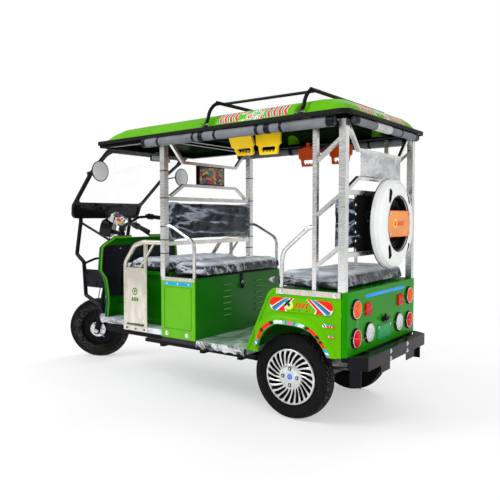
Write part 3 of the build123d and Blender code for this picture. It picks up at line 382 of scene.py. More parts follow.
def roofLook():
    tree, shader, place = newLook("roofGloss")
    color = toneOf(tree, place, (0.11, 0.4, 0.006), 2.2, 0.16)["Color"]
    rays = addNode(tree, "TexWave", {"Vector": place, "Scale": 16.0, "Distortion": 1.0, "Detail": 0.0},
                   bands_direction="DIAGONAL")
    petals = addNode(tree, "TexVoronoi", {"Vector": place, "Scale": 20.0}, feature="F1").outputs["Distance"]
    ring = stepRamp(tree, petals, roofPrint["petalStops"])
    stripe = stepRamp(tree, rays.outputs["Fac"], roofPrint["stripeStops"])
    for low, high, petaled in roofPrint["zones"]:
        zone = useGroup(tree, insideBox, {"Vector": place, "Low": low, "High": high})["Mask"]
        shape = mathNode(tree, "LESS_THAN", petals, 0.56 if petaled else 2.0)
        color = mixColor(tree, mathNode(tree, "MULTIPLY", zone, shape), color, ring if petaled else stripe)
    # Faces turned downwards get a near-black green: painted shade under the roof
    facing = splitOf(tree, addNode(tree, "NewGeometry").outputs["Normal"])
    under = mathNode(tree, "LESS_THAN", facing["Z"], -0.1)
    setShader(tree, shader, Base_Color=mixColor(tree, under, color, (0.01, 0.022, 0.008)), Roughness=0.25,
              Specular_IOR_Level=0.06, Specular_Tint=(0.4, 1.0, 0.3, 1))


# One colour on each side of a plane across the object
def splitLook(name, first, second, edge):
    tree, shader, place = newLook(name)
    chosen = mixColor(tree, mathNode(tree, "GREATER_THAN", splitOf(tree, place)["X"], edge), first, second)
    bumps = useGroup(tree, grain, {"Vector": place, "Scale": 300.0, "Height": 0.0002})
    setShader(tree, shader, Base_Color=toneOf(tree, place, chosen, 7.0, 0.08)["Color"], Normal=bumps["Normal"],
              Roughness=0.3, Coat_Weight=0.04, Specular_IOR_Level=0.2)


tyreLook()
lensLook("amberLens", (1.0, 0.17, 0.0), (0.85, 0.08, 0.0), 95)
lensLook("redLens", (0.95, 0.012, 0.006), (0.6, 0.0, 0.0), 95)
lensLook("clearLens", (0.98, 0.99, 1.0), (0.5, 0.53, 0.56), 85)
lensLook("redReflector", (0.85, 0.008, 0.006), (0.5, 0.0, 0.0), 210)
plainLook("paneGlass", (1.0, 1.0, 1.0), 3.0, 0.015, Roughness=0.0, Transmission_Weight=1.0, IOR=1.1)
# The mirror glass is near white and only slightly metallic: painted reflection of the white surroundings
plainLook("mirrorPaintedReflection", (0.9, 0.91, 0.92), 6.0, 0.02, Metallic=0.3, Roughness=0.08)
printLook("boardPrint", [
    (0.6, 0.02, 0.01), (0.01, 0.03, 0.2), (0.85, 0.25, 0.02), (0.01, 0.2, 0.35), (0.5, 0.01, 0.02), (0.02, 0.02, 0.05),
    (0.8, 0.6, 0.05), (0.02, 0.3, 0.2)], 34)
roofLook()
splitLook("handlePair", glossPlastics["orangePlastic"][0], glossPlastics["yellowPlastic"][0], 0.0)
# The box below the middle seat: bright cheeks, darker rear face
splitLook("boxPaint", deepGreen, lime, 0.4649)


# What each look covers of the solids
nodeLooks = {
    "blackSteel": "chassis_frame seat_lid steering_fork front_rim rear_rim_left rear_rim_right spare_rim",
    "blackPaint": "rear_bumper roof_frame roof_rack windshield_frame front_guard handlebar",
    "limePaint": "rear_side_panels", "rearPaint": "rear_panel", "boxPaint": "middle_box",
    "deepPaint": "driver_box rear_seat_base leg_shield", "roofGloss": "roof_panel", "plateGreen": "number_plate",
    "stainless": "body_posts backrest_frames grab_rails", "creamSteel": "sill_strips door_guards",
    "wheelSilver": "front_brake instrument_cluster wheel_cover_left wheel_cover_right",
    "greyIron": "rear_axle leaf_springs", "blackPlastic": "battery_block sign_boards mirrors hand_grips",
    "glossPlastic": "windshield_apron headlamp", "whitePlastic": "spare_cover", "labelPlastic": "spare_label",
    "trimRubber": "roof_trim", "tyreRubber": "front_tyre rear_tyre_left rear_tyre_right spare_tyre",
    "cableBlack": "control_cables", "greyRexine": "curtain_rolls", "blackRexine": "shield_pocket",
    "handlePair": "grab_handles", "paneGlass": "windshield_glass", "redLens": "rear_lamps",
    "floorFilm": "floor_deck", "trayFilm": "driver_floor", "wrappedMiddle": "middle_cushion",
    "wrappedDriver": "driver_cushion", "wrappedRear": "rear_cushion", "wrappedBack": "backrests",
}
for look, names in nodeLooks.items():
    for name in names.split():
        materials = nodes[name].data.materials
        for index in range(max(1, len(materials))):
            if len(materials) <= index:
                materials.append(looks[look])
            else:
                materials[index] = looks[look]
print("materials made")


# Mesh helpers
def makePiece(name, verts, faces, look, body, smooth=True):
    mesh = bpy.data.meshes.new(name)
    mesh.from_pydata([tuple(vert) for vert in verts], [], faces)
    mesh.validate()
    form = bmesh.new()
    form.from_mesh(mesh)
    bmesh.ops.recalc_face_normals(form, faces=form.faces)
    form.to_mesh(mesh)
    form.free()
    piece = bpy.data.objects.new(name, mesh)
    scene.collection.objects.link(piece)
    for one in ([look] if isinstance(look, str) else look):
        mesh.materials.append(looks[one])
    mesh.polygons.foreach_set("use_smooth", [smooth] * len(mesh.polygons))
    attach(piece, body)
    return piece


def sharpen(piece, degrees=40):
    piece.data.set_sharp_from_angle(angle=math.radians(degrees))
    return piece


# Gathers vertices and faces of several small forms into one mesh
class Shape:
    def __init__(self):
        self.verts, self.faces, self.slots = [], [], []

    def add(self, verts, faces, slot=0):
        base = len(self.verts)
        self.verts += [Vector(vert) for vert in verts]
        self.faces += [[base + index for index in face] for face in faces]
        self.slots += [slot] * len(faces)

    def piece(self, name, look, body, smooth=True, sharp=40):
        made = makePiece(name, self.verts, self.faces, look, body, smooth)
        if not isinstance(look, str) and len(made.data.polygons) == len(self.slots):
            made.data.polygons.foreach_set("material_index", self.slots)
        if smooth:
            sharpen(made, sharp)
        return made


# Quads between the neighbouring rows of a grid of points
def quadsOf(rows, columns, closeRows=False, closeColumns=False):
    faces = []
    for row in range(rows if closeRows else rows - 1):
        here, there = row * columns, (row + 1) % rows * columns
        for column in range(columns if closeColumns else columns - 1):
            other = (column + 1) % columns
            faces.append((here + column, here + other, there + other, there + column))
    return faces


# The first and the last row of such a grid as faces
def endsOf(rows, columns):
    return [tuple(range(columns))[::-1], tuple((rows - 1) * columns + column for column in range(columns))]


def frameFor(direction):
    direction = Vector(direction).normalized()
    helper = Vector((0, 0, 1)) if abs(direction.z) < 0.9 else Vector((1, 0, 0))
    across = helper.cross(direction).normalized()
    return across, direction.cross(across)


def addTube(shape, points, radius, sides=10, slot=0, closed=False):
    points = [Vector(point) for point in points]
    count = len(points)
    verts, across = [], None
    for index, point in enumerate(points):
        before = points[index - 1] if index or closed else point
        after = points[(index + 1) % count] if index < count - 1 or closed else point
        ahead = (after - before).normalized()
        if across is None:
            across, _ = frameFor(ahead)
        across = (across - ahead * across.dot(ahead)).normalized()
        upward = ahead.cross(across)
        verts += [point + across * math.cos(turn) * radius + upward * math.sin(turn) * radius
                  for turn in (2 * math.pi * side / sides for side in range(sides))]
    shape.add(verts, quadsOf(count, sides, closed, True) + ([] if closed else endsOf(count, sides)), slot)


def smoothPath(points, steps=8):
    points = [Vector(point) for point in points]
    padded = [points[0] * 2 - points[1], *points, points[-1] * 2 - points[-2]]
    path = []
    for index in range(1, len(padded) - 2):
        a, b, c, d = padded[index - 1:index + 3]
        for step in range(steps):
            t = step / steps
            path.append(0.5 * ((2 * b) + (c - a) * t + (2 * a - 5 * b + 4 * c - d) * t * t +
                               (3 * b - a - 3 * c + d) * t ** 3))
    path.append(points[-1])
    return path


# profile is (distance along the axis, radius) from one end to the other
def addLathe(shape, centre, axis, profile, around=48, slot=0):
    across, upward = frameFor(axis)
    axis = Vector(axis).normalized()
    verts = []
    for turn in range(around):
        angle = 2 * math.pi * turn / around
        radial = across * math.cos(angle) + upward * math.sin(angle)
        verts += [Vector(centre) + axis * along + radial * radius for along, radius in profile]
    shape.add(verts, quadsOf(around, len(profile), True), slot)


def addBox(shape, low, high, slot=0, bevel=0.0):
    form = bmesh.new()
    bmesh.ops.create_cube(form, size=1.0)
    size = [high[axis] - low[axis] for axis in range(3)]
    for vert in form.verts:
        vert.co = Vector([low[axis] + (vert.co[axis] + 0.5) * size[axis] for axis in range(3)])
    if bevel:
        bmesh.ops.bevel(form, geom=form.edges[:], offset=bevel, segments=2, affect="EDGES", profile=0.6)
    form.verts.index_update()
    shape.add([vert.co.copy() for vert in form.verts], [[v.index for v in face.verts] for face in form.faces], slot)
    form.free()


# outline is points in a plane; place turns (u, v, height) into space
def addPlate(shape, outline, thickness, place, slot=0, bevel=0.0):
    count = len(outline)
    rise = [(0.0, 0.0), (thickness - bevel, 0.0)] + ([(thickness, bevel)] if bevel else [])
    centre = Vector((sum(point[0] for point in outline) / count, sum(point[1] for point in outline) / count))
    verts = []
    for height, inset in rise:
        for point in outline:
            pull = Vector(point) - centre
            if inset:
                pull = pull * (1 - inset / max(pull.length, 1e-4))
            verts.append(place(*(centre + pull), height))
    shape.add(verts, endsOf(len(rise), count) + quadsOf(len(rise), count, closeColumns=True), slot)


# Places a plate on a plane across the vehicle's length
def acrossAt(y, x=0.0, z=0.0, aim=1):
    return lambda u, v, height: at(x + u, y + aim * height, z + v)


def roundedOutline(wide, high, radius, steps=5):
    outline = []
    for cx, cy, start in ((1, 1, 0), (-1, 1, 90), (-1, -1, 180), (1, -1, 270)):
        for step in range(steps + 1):
            turn = math.radians(start + 90 * step / steps)
            outline.append((cx * (wide / 2 - radius) + radius * math.cos(turn),
                            cy * (high / 2 - radius) + radius * math.sin(turn)))
    return outline


# Bolts: one Geometry Nodes tree sets a headed bolt with its washer at each point
def boltTree():
    tree = bpy.data.node_groups.new("boltField", "GeometryNodeTree")
    tree.interface.new_socket("Geometry", in_out="INPUT", socket_type="NodeSocketGeometry")
    for name, kind, value in (("Head Radius", "Float", 0.006), ("Head Height", "Float", 0.005),
                              ("Sides", "Int", 6), ("Finish", "Material", None)):
        socket = tree.interface.new_socket(name, in_out="INPUT", socket_type="NodeSocket" + kind)
        if value is not None:
            socket.default_value = value
    tree.interface.new_socket("Geometry", in_out="OUTPUT", socket_type="NodeSocketGeometry")
    given = tree.nodes.new("NodeGroupInput")
    head = tree.nodes.new("GeometryNodeMeshCone")
    washer = tree.nodes.new("GeometryNodeMeshCylinder")
    washer.inputs["Vertices"].default_value = 20
    link = tree.links.new
    for source, target in (("Sides", "Vertices"), ("Head Radius", "Radius Bottom"), ("Head Height", "Depth")):
        link(given.outputs[source], head.inputs[target])
    for source, factor, target in (("Head Radius", 0.82, head.inputs["Radius Top"]),
                                   ("Head Radius", 1.6, washer.inputs["Radius"]),
                                   ("Head Height", 0.4, washer.inputs["Depth"])):
        link(mathNode(tree, "MULTIPLY", given.outputs[source], factor), target)
    both = tree.nodes.new("GeometryNodeJoinGeometry")
    link(head.outputs["Mesh"], both.inputs[0])
    link(washer.outputs["Mesh"], both.inputs[0])
    aim = tree.nodes.new("GeometryNodeInputNamedAttribute")
    aim.data_type = "FLOAT_VECTOR"
    aim.inputs["Name"].default_value = "aim"
    turned = tree.nodes.new("FunctionNodeAlignRotationToVector")
    turned.axis = "Z"
    link(aim.outputs["Attribute"], turned.inputs["Vector"])
    placed = tree.nodes.new("GeometryNodeInstanceOnPoints")
    link(given.outputs["Geometry"], placed.inputs["Points"])
    link(both.outputs["Geometry"], placed.inputs["Instance"])
    link(turned.outputs["Rotation"], placed.inputs["Rotation"])
    real = tree.nodes.new("GeometryNodeRealizeInstances")
    link(placed.outputs["Instances"], real.inputs["Geometry"])
    finished = tree.nodes.new("GeometryNodeSetMaterial")
    link(real.outputs["Geometry"], finished.inputs["Geometry"])
    link(given.outputs["Finish"], finished.inputs["Material"])
    link(finished.outputs["Geometry"], tree.nodes.new("NodeGroupOutput").inputs["Geometry"])
    return tree


boltNodes = boltTree()


# spots are (point, direction) pairs
def boltField(name, spots, radius, height, look, body, sides):
    mesh = bpy.data.meshes.new(name + "Spots")
    mesh.from_pydata([tuple(point) for point, _ in spots], [], [])
    aims = mesh.attributes.new("aim", "FLOAT_VECTOR", "POINT")
    aims.data.foreach_set("vector", [value for _, aim in spots for value in Vector(aim).normalized()])
    holder = bpy.data.objects.new(name + "Spots", mesh)
    scene.collection.objects.link(holder)
    modifier = holder.modifiers.new("bolts", "NODES")
    modifier.node_group = boltNodes
    values = {"Head Radius": radius, "Head Height": height, "Sides": sides, "Finish": looks[look]}
    for item in boltNodes.interface.items_tree:
        if item.in_out == "INPUT" and item.name in values:
            modifier[item.identifier] = values[item.name]
    bpy.context.view_layer.update()
    solid = bpy.data.meshes.new_from_object(holder.evaluated_get(bpy.context.evaluated_depsgraph_get()))
    bpy.data.objects.remove(holder)
    piece = bpy.data.objects.new(name, solid)
    scene.collection.objects.link(piece)
    if not solid.materials:
        solid.materials.append(looks[look])
    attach(piece, body)


# Tyres: a lathed carcass whose tread is cut by a depth function of angle and width
def ramp(value, low, high):
    t = min(1.0, max(0.0, (value - low) / (high - low)))
    return t * t * (3 - 2 * t)


def gridWave(value, pitch, gap, soft):
    offset = abs((value / pitch) % 1.0 - 0.5) * pitch
    return ramp(offset, pitch / 2 - gap - soft, pitch / 2 - gap)


def roadTread(angle, across, radius):
    along = angle * radius
    depth = 0.0
    for row, pitch in ((-0.022, 0.021), (-0.0075, 0.0185), (0.0075, 0.0185), (0.022, 0.021)):
        if abs(across - row) < 0.0075:
            slant = (across - row) * (1.4 if row > 0 else -1.4)
            depth = max(depth, 0.75 * gridWave(along + slant + row * 0.4, pitch, 0.0016, 0.0014))
    for groove in (-0.015, 0.0, 0.015):
        wiggle = 0.0016 * math.sin(angle * 68)
        depth = max(depth, 1.0 - ramp(abs(across - groove - wiggle), 0.0012, 0.0026))
    if abs(across) > 0.0295:
        depth = max(depth, 0.8 * gridWave(along, 0.0155, 0.0024, 0.0015) * ramp(0.043 - abs(across), 0.0, 0.004))
    return depth


def blockTread(angle, across, radius):
    along = angle * radius
    depth = 0.0
    for row, shift in ((-0.027, 0.0), (-0.009, 0.5), (0.009, 0.0), (0.027, 0.5)):
        if abs(across - row) <= 0.009:
            depth = max(depth, gridWave(along + shift * 0.029, 0.029, 0.0042, 0.0016))
    for groove in (-0.018, 0.0, 0.018):
        depth = max(depth, 1.0 - ramp(abs(across - groove), 0.002, 0.0034))
    return depth * (1.0 if abs(across) < 0.037 else 0.0)


tyreShape = {"outer": 0.24, "half": 0.0455, "bead": 0.152, "beadHalf": 0.033, "shoulder": 0.2335, "wallSteps": 12,
             "bend": 0.72, "ringsAt": (0.3, 0.62), "ringHigh": 0.0011}


def tyrePiece(name, centre, axis, treadAt, treadDeep, treadHalf, body, replaced, around=400, across=34):
    profile = []
    half, bead, beadHalf, shoulder = (tyreShape[key] for key in ("half", "bead", "beadHalf", "shoulder"))
    for step in range(tyreShape["wallSteps"] + 1):
        t = step / tyreShape["wallSteps"]
        radius = bead + (shoulder - bead) * t
        bulge = beadHalf + (half - beadHalf) * math.sin(min(1.0, t * 1.45) * math.pi / 2) ** 0.8
        if t > tyreShape["bend"]:
            bulge = half - (half - treadHalf - 0.004) * ramp(t, tyreShape["bend"], 1.0)
        rings = tyreShape["ringHigh"] if any(abs(t - place) < 0.045 for place in tyreShape["ringsAt"]) else 0.0
        profile.append((-bulge - rings, radius, 0))
    for step in range(across + 1):
        w = -treadHalf + 2 * treadHalf * step / across
        radius = tyreShape["outer"] - (tyreShape["outer"] - shoulder) * (abs(w) / treadHalf) ** 2.3
        profile.append((w, radius, 1))
    for step in range(tyreShape["wallSteps"] + 1):
        w, radius, _ = profile[tyreShape["wallSteps"] - step]
        profile.append((-w, radius, 0))
    axis = Vector(axis).normalized()
    right, upward = frameFor(axis)
    verts = []
    for turn in range(around):
        angle = 2 * math.pi * turn / around
        radial = right * math.cos(angle) + upward * math.sin(angle)
        for w, radius, treaded in profile:
            cut = treadDeep * treadAt(angle, w, tyreShape["outer"]) if treaded else 0.0
            verts.append(centre + axis * w + radial * (radius - cut))
    piece = makePiece(name, verts, quadsOf(around, len(profile), True, True), "tyreRubber", body)
    sharpen(piece, 38)
    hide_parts(*replaced)
    return piece


spinAxis = Vector(joints["front_wheel_spin"]["axis"])
frontHub = Vector(joints["front_wheel_spin"]["pos_m"])
bothSides = ((1, "Left"), (-1, "Right"))
halfTrack = 0.36
hubs = {side: at(side * halfTrack, 0, axleZ) for side in (1, -1)}
# Tread, how deep it is cut and its half width
roadTyre, blockTyre = (roadTread, 0.0055, 0.0385), (blockTread, 0.009, 0.037)
for side, sideName in bothSides:
    tyrePiece("rearTyre" + sideName + "Road", hubs[side], (1, 0, 0), *roadTyre, "rear_wheel_" + sideName.lower(),
              ["rear_tyre_" + sideName.lower()])
tyrePiece("frontTyreBlocks", frontHub, spinAxis, *blockTyre, "front_wheel", ["front_tyre"])
print("tyres made")

# Rear wheel covers: swirled ribs between a hub disc and an outer ring
coverForm = {
    "ribs": 24, "lean": 0.34, "inner": 0.062, "outer": 0.151, "wide": 0.0066, "narrow": 0.0036, "crown": 0.0026,
    "deep": 0.007, "steps": 10,
    "section": ((0.0, 0.0485), (0.03, 0.0475), (0.045, 0.0465), (0.07, 0.0455), (0.12, 0.0508), (0.154, 0.0492)),
    "ring": ((0.036, 0.146), (0.044, 0.1455), (0.0495, 0.148), (0.0505, 0.152), (0.048, 0.157), (0.043, 0.159),
             (0.036, 0.159)),
}


def coverHeight(radius):
    line = coverForm["section"]
    for (r0, x0), (r1, x1) in zip(line, line[1:]):
        if radius <= r1:
            return x0 + (x1 - x0) * (radius - r0) / (r1 - r0)
    return line[-1][1]


for side, sideName in bothSides:
    hub = hubs[side]
    cover = Shape()
    addLathe(cover, hub, (side, 0, 0), coverForm["ring"], 96)
    addLathe(cover, hub, (side, 0, 0), [(0.0405, 0.07), (coverHeight(0.07) - 0.002, 0.071),
                                        (coverHeight(0.068), 0.068), (0.0468, 0.05), (0.0475, 0.03), (0.0488, 0.022),
                                        (0.0488, 0.0)], 72)
    steps = coverForm["steps"]
    for rib in range(coverForm["ribs"]):
        verts = []
        for step in range(steps + 1):
            share = step / steps
            radius = coverForm["inner"] + (coverForm["outer"] - coverForm["inner"]) * share
            turn = 2 * math.pi * rib / coverForm["ribs"] - coverForm["lean"] * share ** 0.8
            flare = abs(2 * share - 1.05) ** 4
            half = coverForm["narrow"] + (coverForm["wide"] - coverForm["narrow"]) * share + 0.005 * flare
            top = coverHeight(radius)
            for across, drop in ((-1.0, coverForm["deep"]), (-1.0, coverForm["crown"]), (-0.45, 0.0006), (0.45, 0.0),
                                 (1.0, coverForm["crown"] * 0.8), (1.0, coverForm["deep"])):
                angle = turn + across * half / radius
                verts.append(hub + Vector((side * (top - drop), side * radius * math.cos(angle),
                                           radius * math.sin(angle))))
        cover.add(verts, quadsOf(steps + 1, 6), 0)
    for turn in (0, math.pi / 2, math.pi, 3 * math.pi / 2):
        lug = hub + Vector((0, 0.046 * math.cos(turn), 0.046 * math.sin(turn)))
        addLathe(cover, lug, (side, 0, 0), [(0.0462, 0.0145), (0.0492, 0.0128), (0.0488, 0.0112), (0.0472, 0.0108)], 20)
        # A near-black disc closes each lug hole: painted shade
        addLathe(cover, lug, (side, 0, 0), [(0.0474, 0.0109), (0.0474, 0.0)], 20, 1)
        addLathe(cover, lug, (side, 0, 0), [(0.0474, 0.006), (0.051, 0.0056), (0.0516, 0.0)], 6)
    made = cover.piece("swirl" + sideName, ["wheelSilver", "darkHole"], "rear_wheel_" + sideName.lower(), sharp=50)
    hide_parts("wheel_cover_" + sideName.lower())

# Hub badges left plain
for side, sideName in bothSides:
    cap = Shape()
    addLathe(cap, hubs[side], (side, 0, 0), [(0.0512, 0.0), (0.0512, 0.012), (0.0498, 0.0165), (0.0475, 0.017)], 32)
    addLathe(cap, hubs[side], (side, 0, 0), [(0.0526, 0.0), (0.0524, 0.004), (0.0511, 0.0055)], 16, 1)
    cap.piece("hubCap" + sideName, ["bluePlastic", "orangePlastic"], "rear_wheel_" + sideName.lower())

# Rear lamps: bezel ring, domed lens and the white cord that ties each one down
lampTable = (
    # x, z, lens radius, lens look
    (0.368, 0.648, 0.046, "amberLens"), (0.366, 0.495, 0.046, "redLens"), (0.206, 0.504, 0.048, "clearLens"),
)
panelY = 0.38
lampLooks = ["chrome", "blackPlastic", "amberLens", "redLens", "clearLens", "redReflector", "cord"]
lamps = Shape()
for x, z, radius, lens in [(side * row[0], *row[1:]) for row in lampTable for side in (1, -1)]:
    spot = at(x, panelY, z)
    addLathe(lamps, spot, (0, 1, 0), [(0.0, radius + 0.009), (0.006, radius + 0.009), (0.010, radius + 0.006),
                                      (0.011, radius + 0.002), (0.009, radius)], 48, 1)
    addLathe(lamps, spot, (0, 1, 0), [(0.009, radius + 0.0035), (0.0125, radius + 0.002), (0.0125, radius - 0.001),
                                      (0.008, radius - 0.002)], 48, 0)
    dome = [(0.008 + 0.014 * math.cos(turn * math.pi / 2), radius * math.sin(turn * math.pi / 2))
            for turn in (1.0, 0.85, 0.7, 0.55, 0.4, 0.25, 0.12, 0.0)]
    addLathe(lamps, spot, (0, 1, 0), dome, 48, lampLooks.index(lens))
    reach = radius + 0.012
    tilt = random.Random(int(x * 1000) + int(z * 100)).uniform(-0.15, 0.15)
    turn = tilt + (0.3 if z > 0.6 else 0.15)
    cordPath = []
    for along in [step / 6 for step in range(-6, 7)]:
        height = 0.0245 * math.cos(min(1, abs(along) * 0.98) * math.pi / 2) ** 0.7
        cordPath.append(at(x + math.cos(turn) * along * reach, panelY + 0.001 + height,
                           z + math.sin(turn) * along * reach))
    addTube(lamps, cordPath, 0.0009, 6, lampLooks.index("cord"))
for x in (0.225, -0.225):
    addPlate(lamps, roundedOutline(0.074, 0.066, 0.006), 0.011, acrossAt(panelY, x, 0.635),
             lampLooks.index("redReflector"), 0.003)
for first, last in (((0.34, 0.628), (0.19, 0.65)), ((-0.34, 0.628), (-0.19, 0.65)), ((0.332, 0.478), (0.165, 0.52)),
                    ((0.366, 0.545), (0.37, 0.60))):
    sag = [at(first[0] + (last[0] - first[0]) * t, panelY + 0.012 + 0.004 * math.sin(t * 9),
              first[1] + (last[1] - first[1]) * t - 0.012 * math.sin(math.pi * t)) for t in (0, 0.25, 0.5, 0.75, 1)]
    addTube(lamps, smoothPath(sag, 5), 0.0009, 6, lampLooks.index("cord"))
lampPiece = lamps.piece("rearLampSet", lampLooks, "chassis", sharp=35)
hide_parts("rear_lamps")

# Number plate, left blank, with a pressed border, and its lamp above
plate = Shape()
for wide, high, radius, lift, thickness, slot, bevel in (
        (0.198, 0.094, 0.008, 0.0, 0.004, 0, 0.002), (0.188, 0.084, 0.006, 0.0035, 0.0012, 1, 0.0008),
        (0.178, 0.074, 0.005, 0.0042, 0.001, 0, 0.0006)):
    addPlate(plate, roundedOutline(wide, high, radius), thickness, acrossAt(panelY + lift, z=0.4805), slot, bevel)
addBox(plate, at(-0.036, panelY, 0.538), at(0.036, panelY + 0.02, 0.567), 2, 0.005)
addBox(plate, at(-0.028, panelY + 0.016, 0.546), at(0.03, panelY + 0.034, 0.562), 2, 0.005)
addTube(plate, [at(0.0, panelY + 0.012, 0.56), at(0.012, panelY + 0.014, 0.58)], 0.006, 10, 2)
platePiece = plate.piece("numberPlateSet", ["plateGreen", "deepPaint", "glossPlastic"], "chassis")
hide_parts("number_plate")
print("lamps made")


# Padded pieces: remeshed, inflated as cloth, capped, then creased like wrapped film
def inflate(name, low, high, look, body, replaced, settings, shrink=0.006):
    form = Shape()
    addBox(form, [value + shrink for value in low], [value - shrink for value in high], 0, settings["round"])
    piece = form.piece(name, look, body, sharp=180)
    remesh = piece.modifiers.new("remesh", "REMESH")
    remesh.mode, remesh.voxel_size = "VOXEL", settings["voxel"]
    bpy.context.view_layer.objects.active = piece
    bpy.ops.object.modifier_apply(modifier=remesh.name)
    rest = [vert.co.copy() for vert in piece.data.vertices]
    pins = piece.vertex_groups.new(name="seat")
    seated = [vert.index for vert in piece.data.vertices if settings["pinned"](vert.co, low)]
    pins.add(seated, 1.0, "REPLACE")
    cloth = piece.modifiers.new("cloth", "CLOTH")
    cloth.settings.use_pressure = True
    cloth.settings.uniform_pressure_force = settings["pressure"]
    cloth.settings.effector_weights.gravity = 0
    cloth.settings.mass = 0.3
    cloth.settings.tension_stiffness = cloth.settings.compression_stiffness = settings["stiff"]
    cloth.settings.bending_stiffness = 0.5
    cloth.settings.vertex_group_mass = "seat"
    cloth.settings.quality = 5
    for step in range(1, settings["frames"] + 1):
        scene.frame_set(step)
    swollen = piece.evaluated_get(bpy.context.evaluated_depsgraph_get()).data
    places = [vert.co.copy() for vert in swollen.vertices]
    piece.modifiers.remove(cloth)
    for vert, start, reached in zip(piece.data.vertices, rest, places):
        move = reached - start
        if move.length > settings["cap"]:
            move = move.normalized() * settings["cap"]
        vert.co = start + move
    scene.frame_set(1)
    divide = piece.modifiers.new("divide", "SUBSURF")
    divide.levels = divide.render_levels = 1
    bpy.ops.object.modifier_apply(modifier=divide.name)
    piece.data.update()
    normals = [vert.normal.copy() for vert in piece.data.vertices]
    seed = Vector(settings["seed"])
    for vert, normal in zip(piece.data.vertices, normals):
        spot = Vector((vert.co.x * 0.55 + vert.co.y * 0.4, vert.co.y, vert.co.z)) * settings["creaseScale"] + seed
        warp = noise.noise_vector(vert.co * 6 + seed) * 0.6
        rise = 1.0 - abs(noise.noise(spot + warp)) * settings["creaseSharp"]
        rise = max(0.0, rise) ** 1.5 + 0.35 * max(0.0, 1.0 - abs(noise.noise(spot * 2.3 + warp)) * 7)
        dip = noise.noise(vert.co * 4.5 + seed * 2) * 0.5
        vert.co += normal * settings["creaseHigh"] * (rise - 0.35 + dip)
        for index in range(3):
            vert.co[index] = min(high[index] + settings["over"][index], max(low[index] - settings["over"][index],
                                                                          vert.co[index]))
    piece.data.polygons.foreach_set("use_smooth", [True] * len(piece.data.polygons))
    if replaced:
        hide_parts(*replaced)
    return piece


seatSettings = {
    "voxel": 0.011, "round": 0.022, "pressure": 4.0, "stiff": 12.0, "cap": 0.013, "frames": 14, "seed": (1.3, 4.1, 2.2),
    "creaseScale": 13.0, "creaseSharp": 6.0, "creaseHigh": 0.0018, "over": (0.012, 0.012, 0.008),
    "pinned": lambda spot, low: spot.z < low[2] + 0.02,
}
backSettings = dict(seatSettings, voxel=0.012, round=0.016, cap=0.010, creaseHigh=0.002, creaseScale=9.0,
                    creaseSharp=5.0, pinned=lambda spot, low: False, over=(0.01, 0.008, 0.01))


for name, node, look, body, seed in (
        ("middleCushionWrapped", "middle_cushion", "wrappedMiddle", "seat_lid", (3.7, 0.4, 1.1)),
        ("driverCushionWrapped", "driver_cushion", "wrappedDriver", "chassis", (7.9, 2.4, 5.1)),
        ("rearCushionWrapped", "rear_cushion", "wrappedRear", "chassis", (0.3, 9.4, 4.4))):
    inflate(name, *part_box(node), look, body, [node], dict(seatSettings, seed=seed))
backLow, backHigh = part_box("backrests")
for name, y0, y1, z0, z1, seed in (
        ("middleBackWrapped", backLow.y, backLow.y + 0.087, 0.9758, 1.2372, (0.0, 1.9, 6.6)),
        ("rearBackWrapped", backHigh.y - 0.0602, backHigh.y, 0.9478, 1.2492, (5.3, 1.9, 6.6))):
    inflate(name, Vector((-0.425, y0, z0)), Vector((0.425, y1, z1)), "wrappedBack", "chassis", [],
                             dict(backSettings, seed=seed))
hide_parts("backrests")
print("cushions made")


# Stickers: polygons in millimetres, cut to the field they lie on
def cutTo(polygon, field):
    for index, start in enumerate(field):
        end = field[(index + 1) % len(field)]
        edge = (end[0] - start[0], end[1] - start[1])
        kept = []
        for step, point in enumerate(polygon):
            other = polygon[(step + 1) % len(polygon)]
            here = edge[0] * (point[1] - start[1]) - edge[1] * (point[0] - start[0])
            there = edge[0] * (other[1] - start[1]) - edge[1] * (other[0] - start[0])
            if here >= 0:
                kept.append(point)
            if here * there < 0:
                t = here / (here - there)
                kept.append((point[0] + (other[0] - point[0]) * t, point[1] + (other[1] - point[1]) * t))
        polygon = kept
        if len(polygon) < 3:
            return []
    return polygon


# Half widths at which the flat shapes on the sides lie
faceX = {"panel": 0.486, "lip": 0.5008, "cheek": 0.472, "guard": 0.4651}


def sideways(side, x):
    return lambda u, v, height: Vector((side * (x + height), rearY + u, v))


def metres(polygon):
    return [(u / 1000, v / 1000) for u, v in polygon]


def lay(shape, polygon, place, slot, layer=0):
    if len(polygon) > 2:
        addPlate(shape, metres(polygon), 0.00025 + layer * 0.0002, place, slot)


def shifted(polygon, u, v, mirrored=False):
    return [(u + (-a if mirrored else a), v + b) for a, b in (polygon[::-1] if mirrored else polygon)]


def disc(u, v, radius, count=24):
    return [(u + radius * math.cos(2 * math.pi * step / count), v + radius * math.sin(2 * math.pi * step / count))
            for step in range(count)]


stickerLooks = ["redVinyl", "whiteVinyl", "greyVinyl", "blackVinyl", "yellowVinyl", "skyVinyl", "tealVinyl",
                "pinkVinyl"]
RED, WHITE, GREY, BLACK, YELLOW, SKY, TEAL, PINK = range(8)
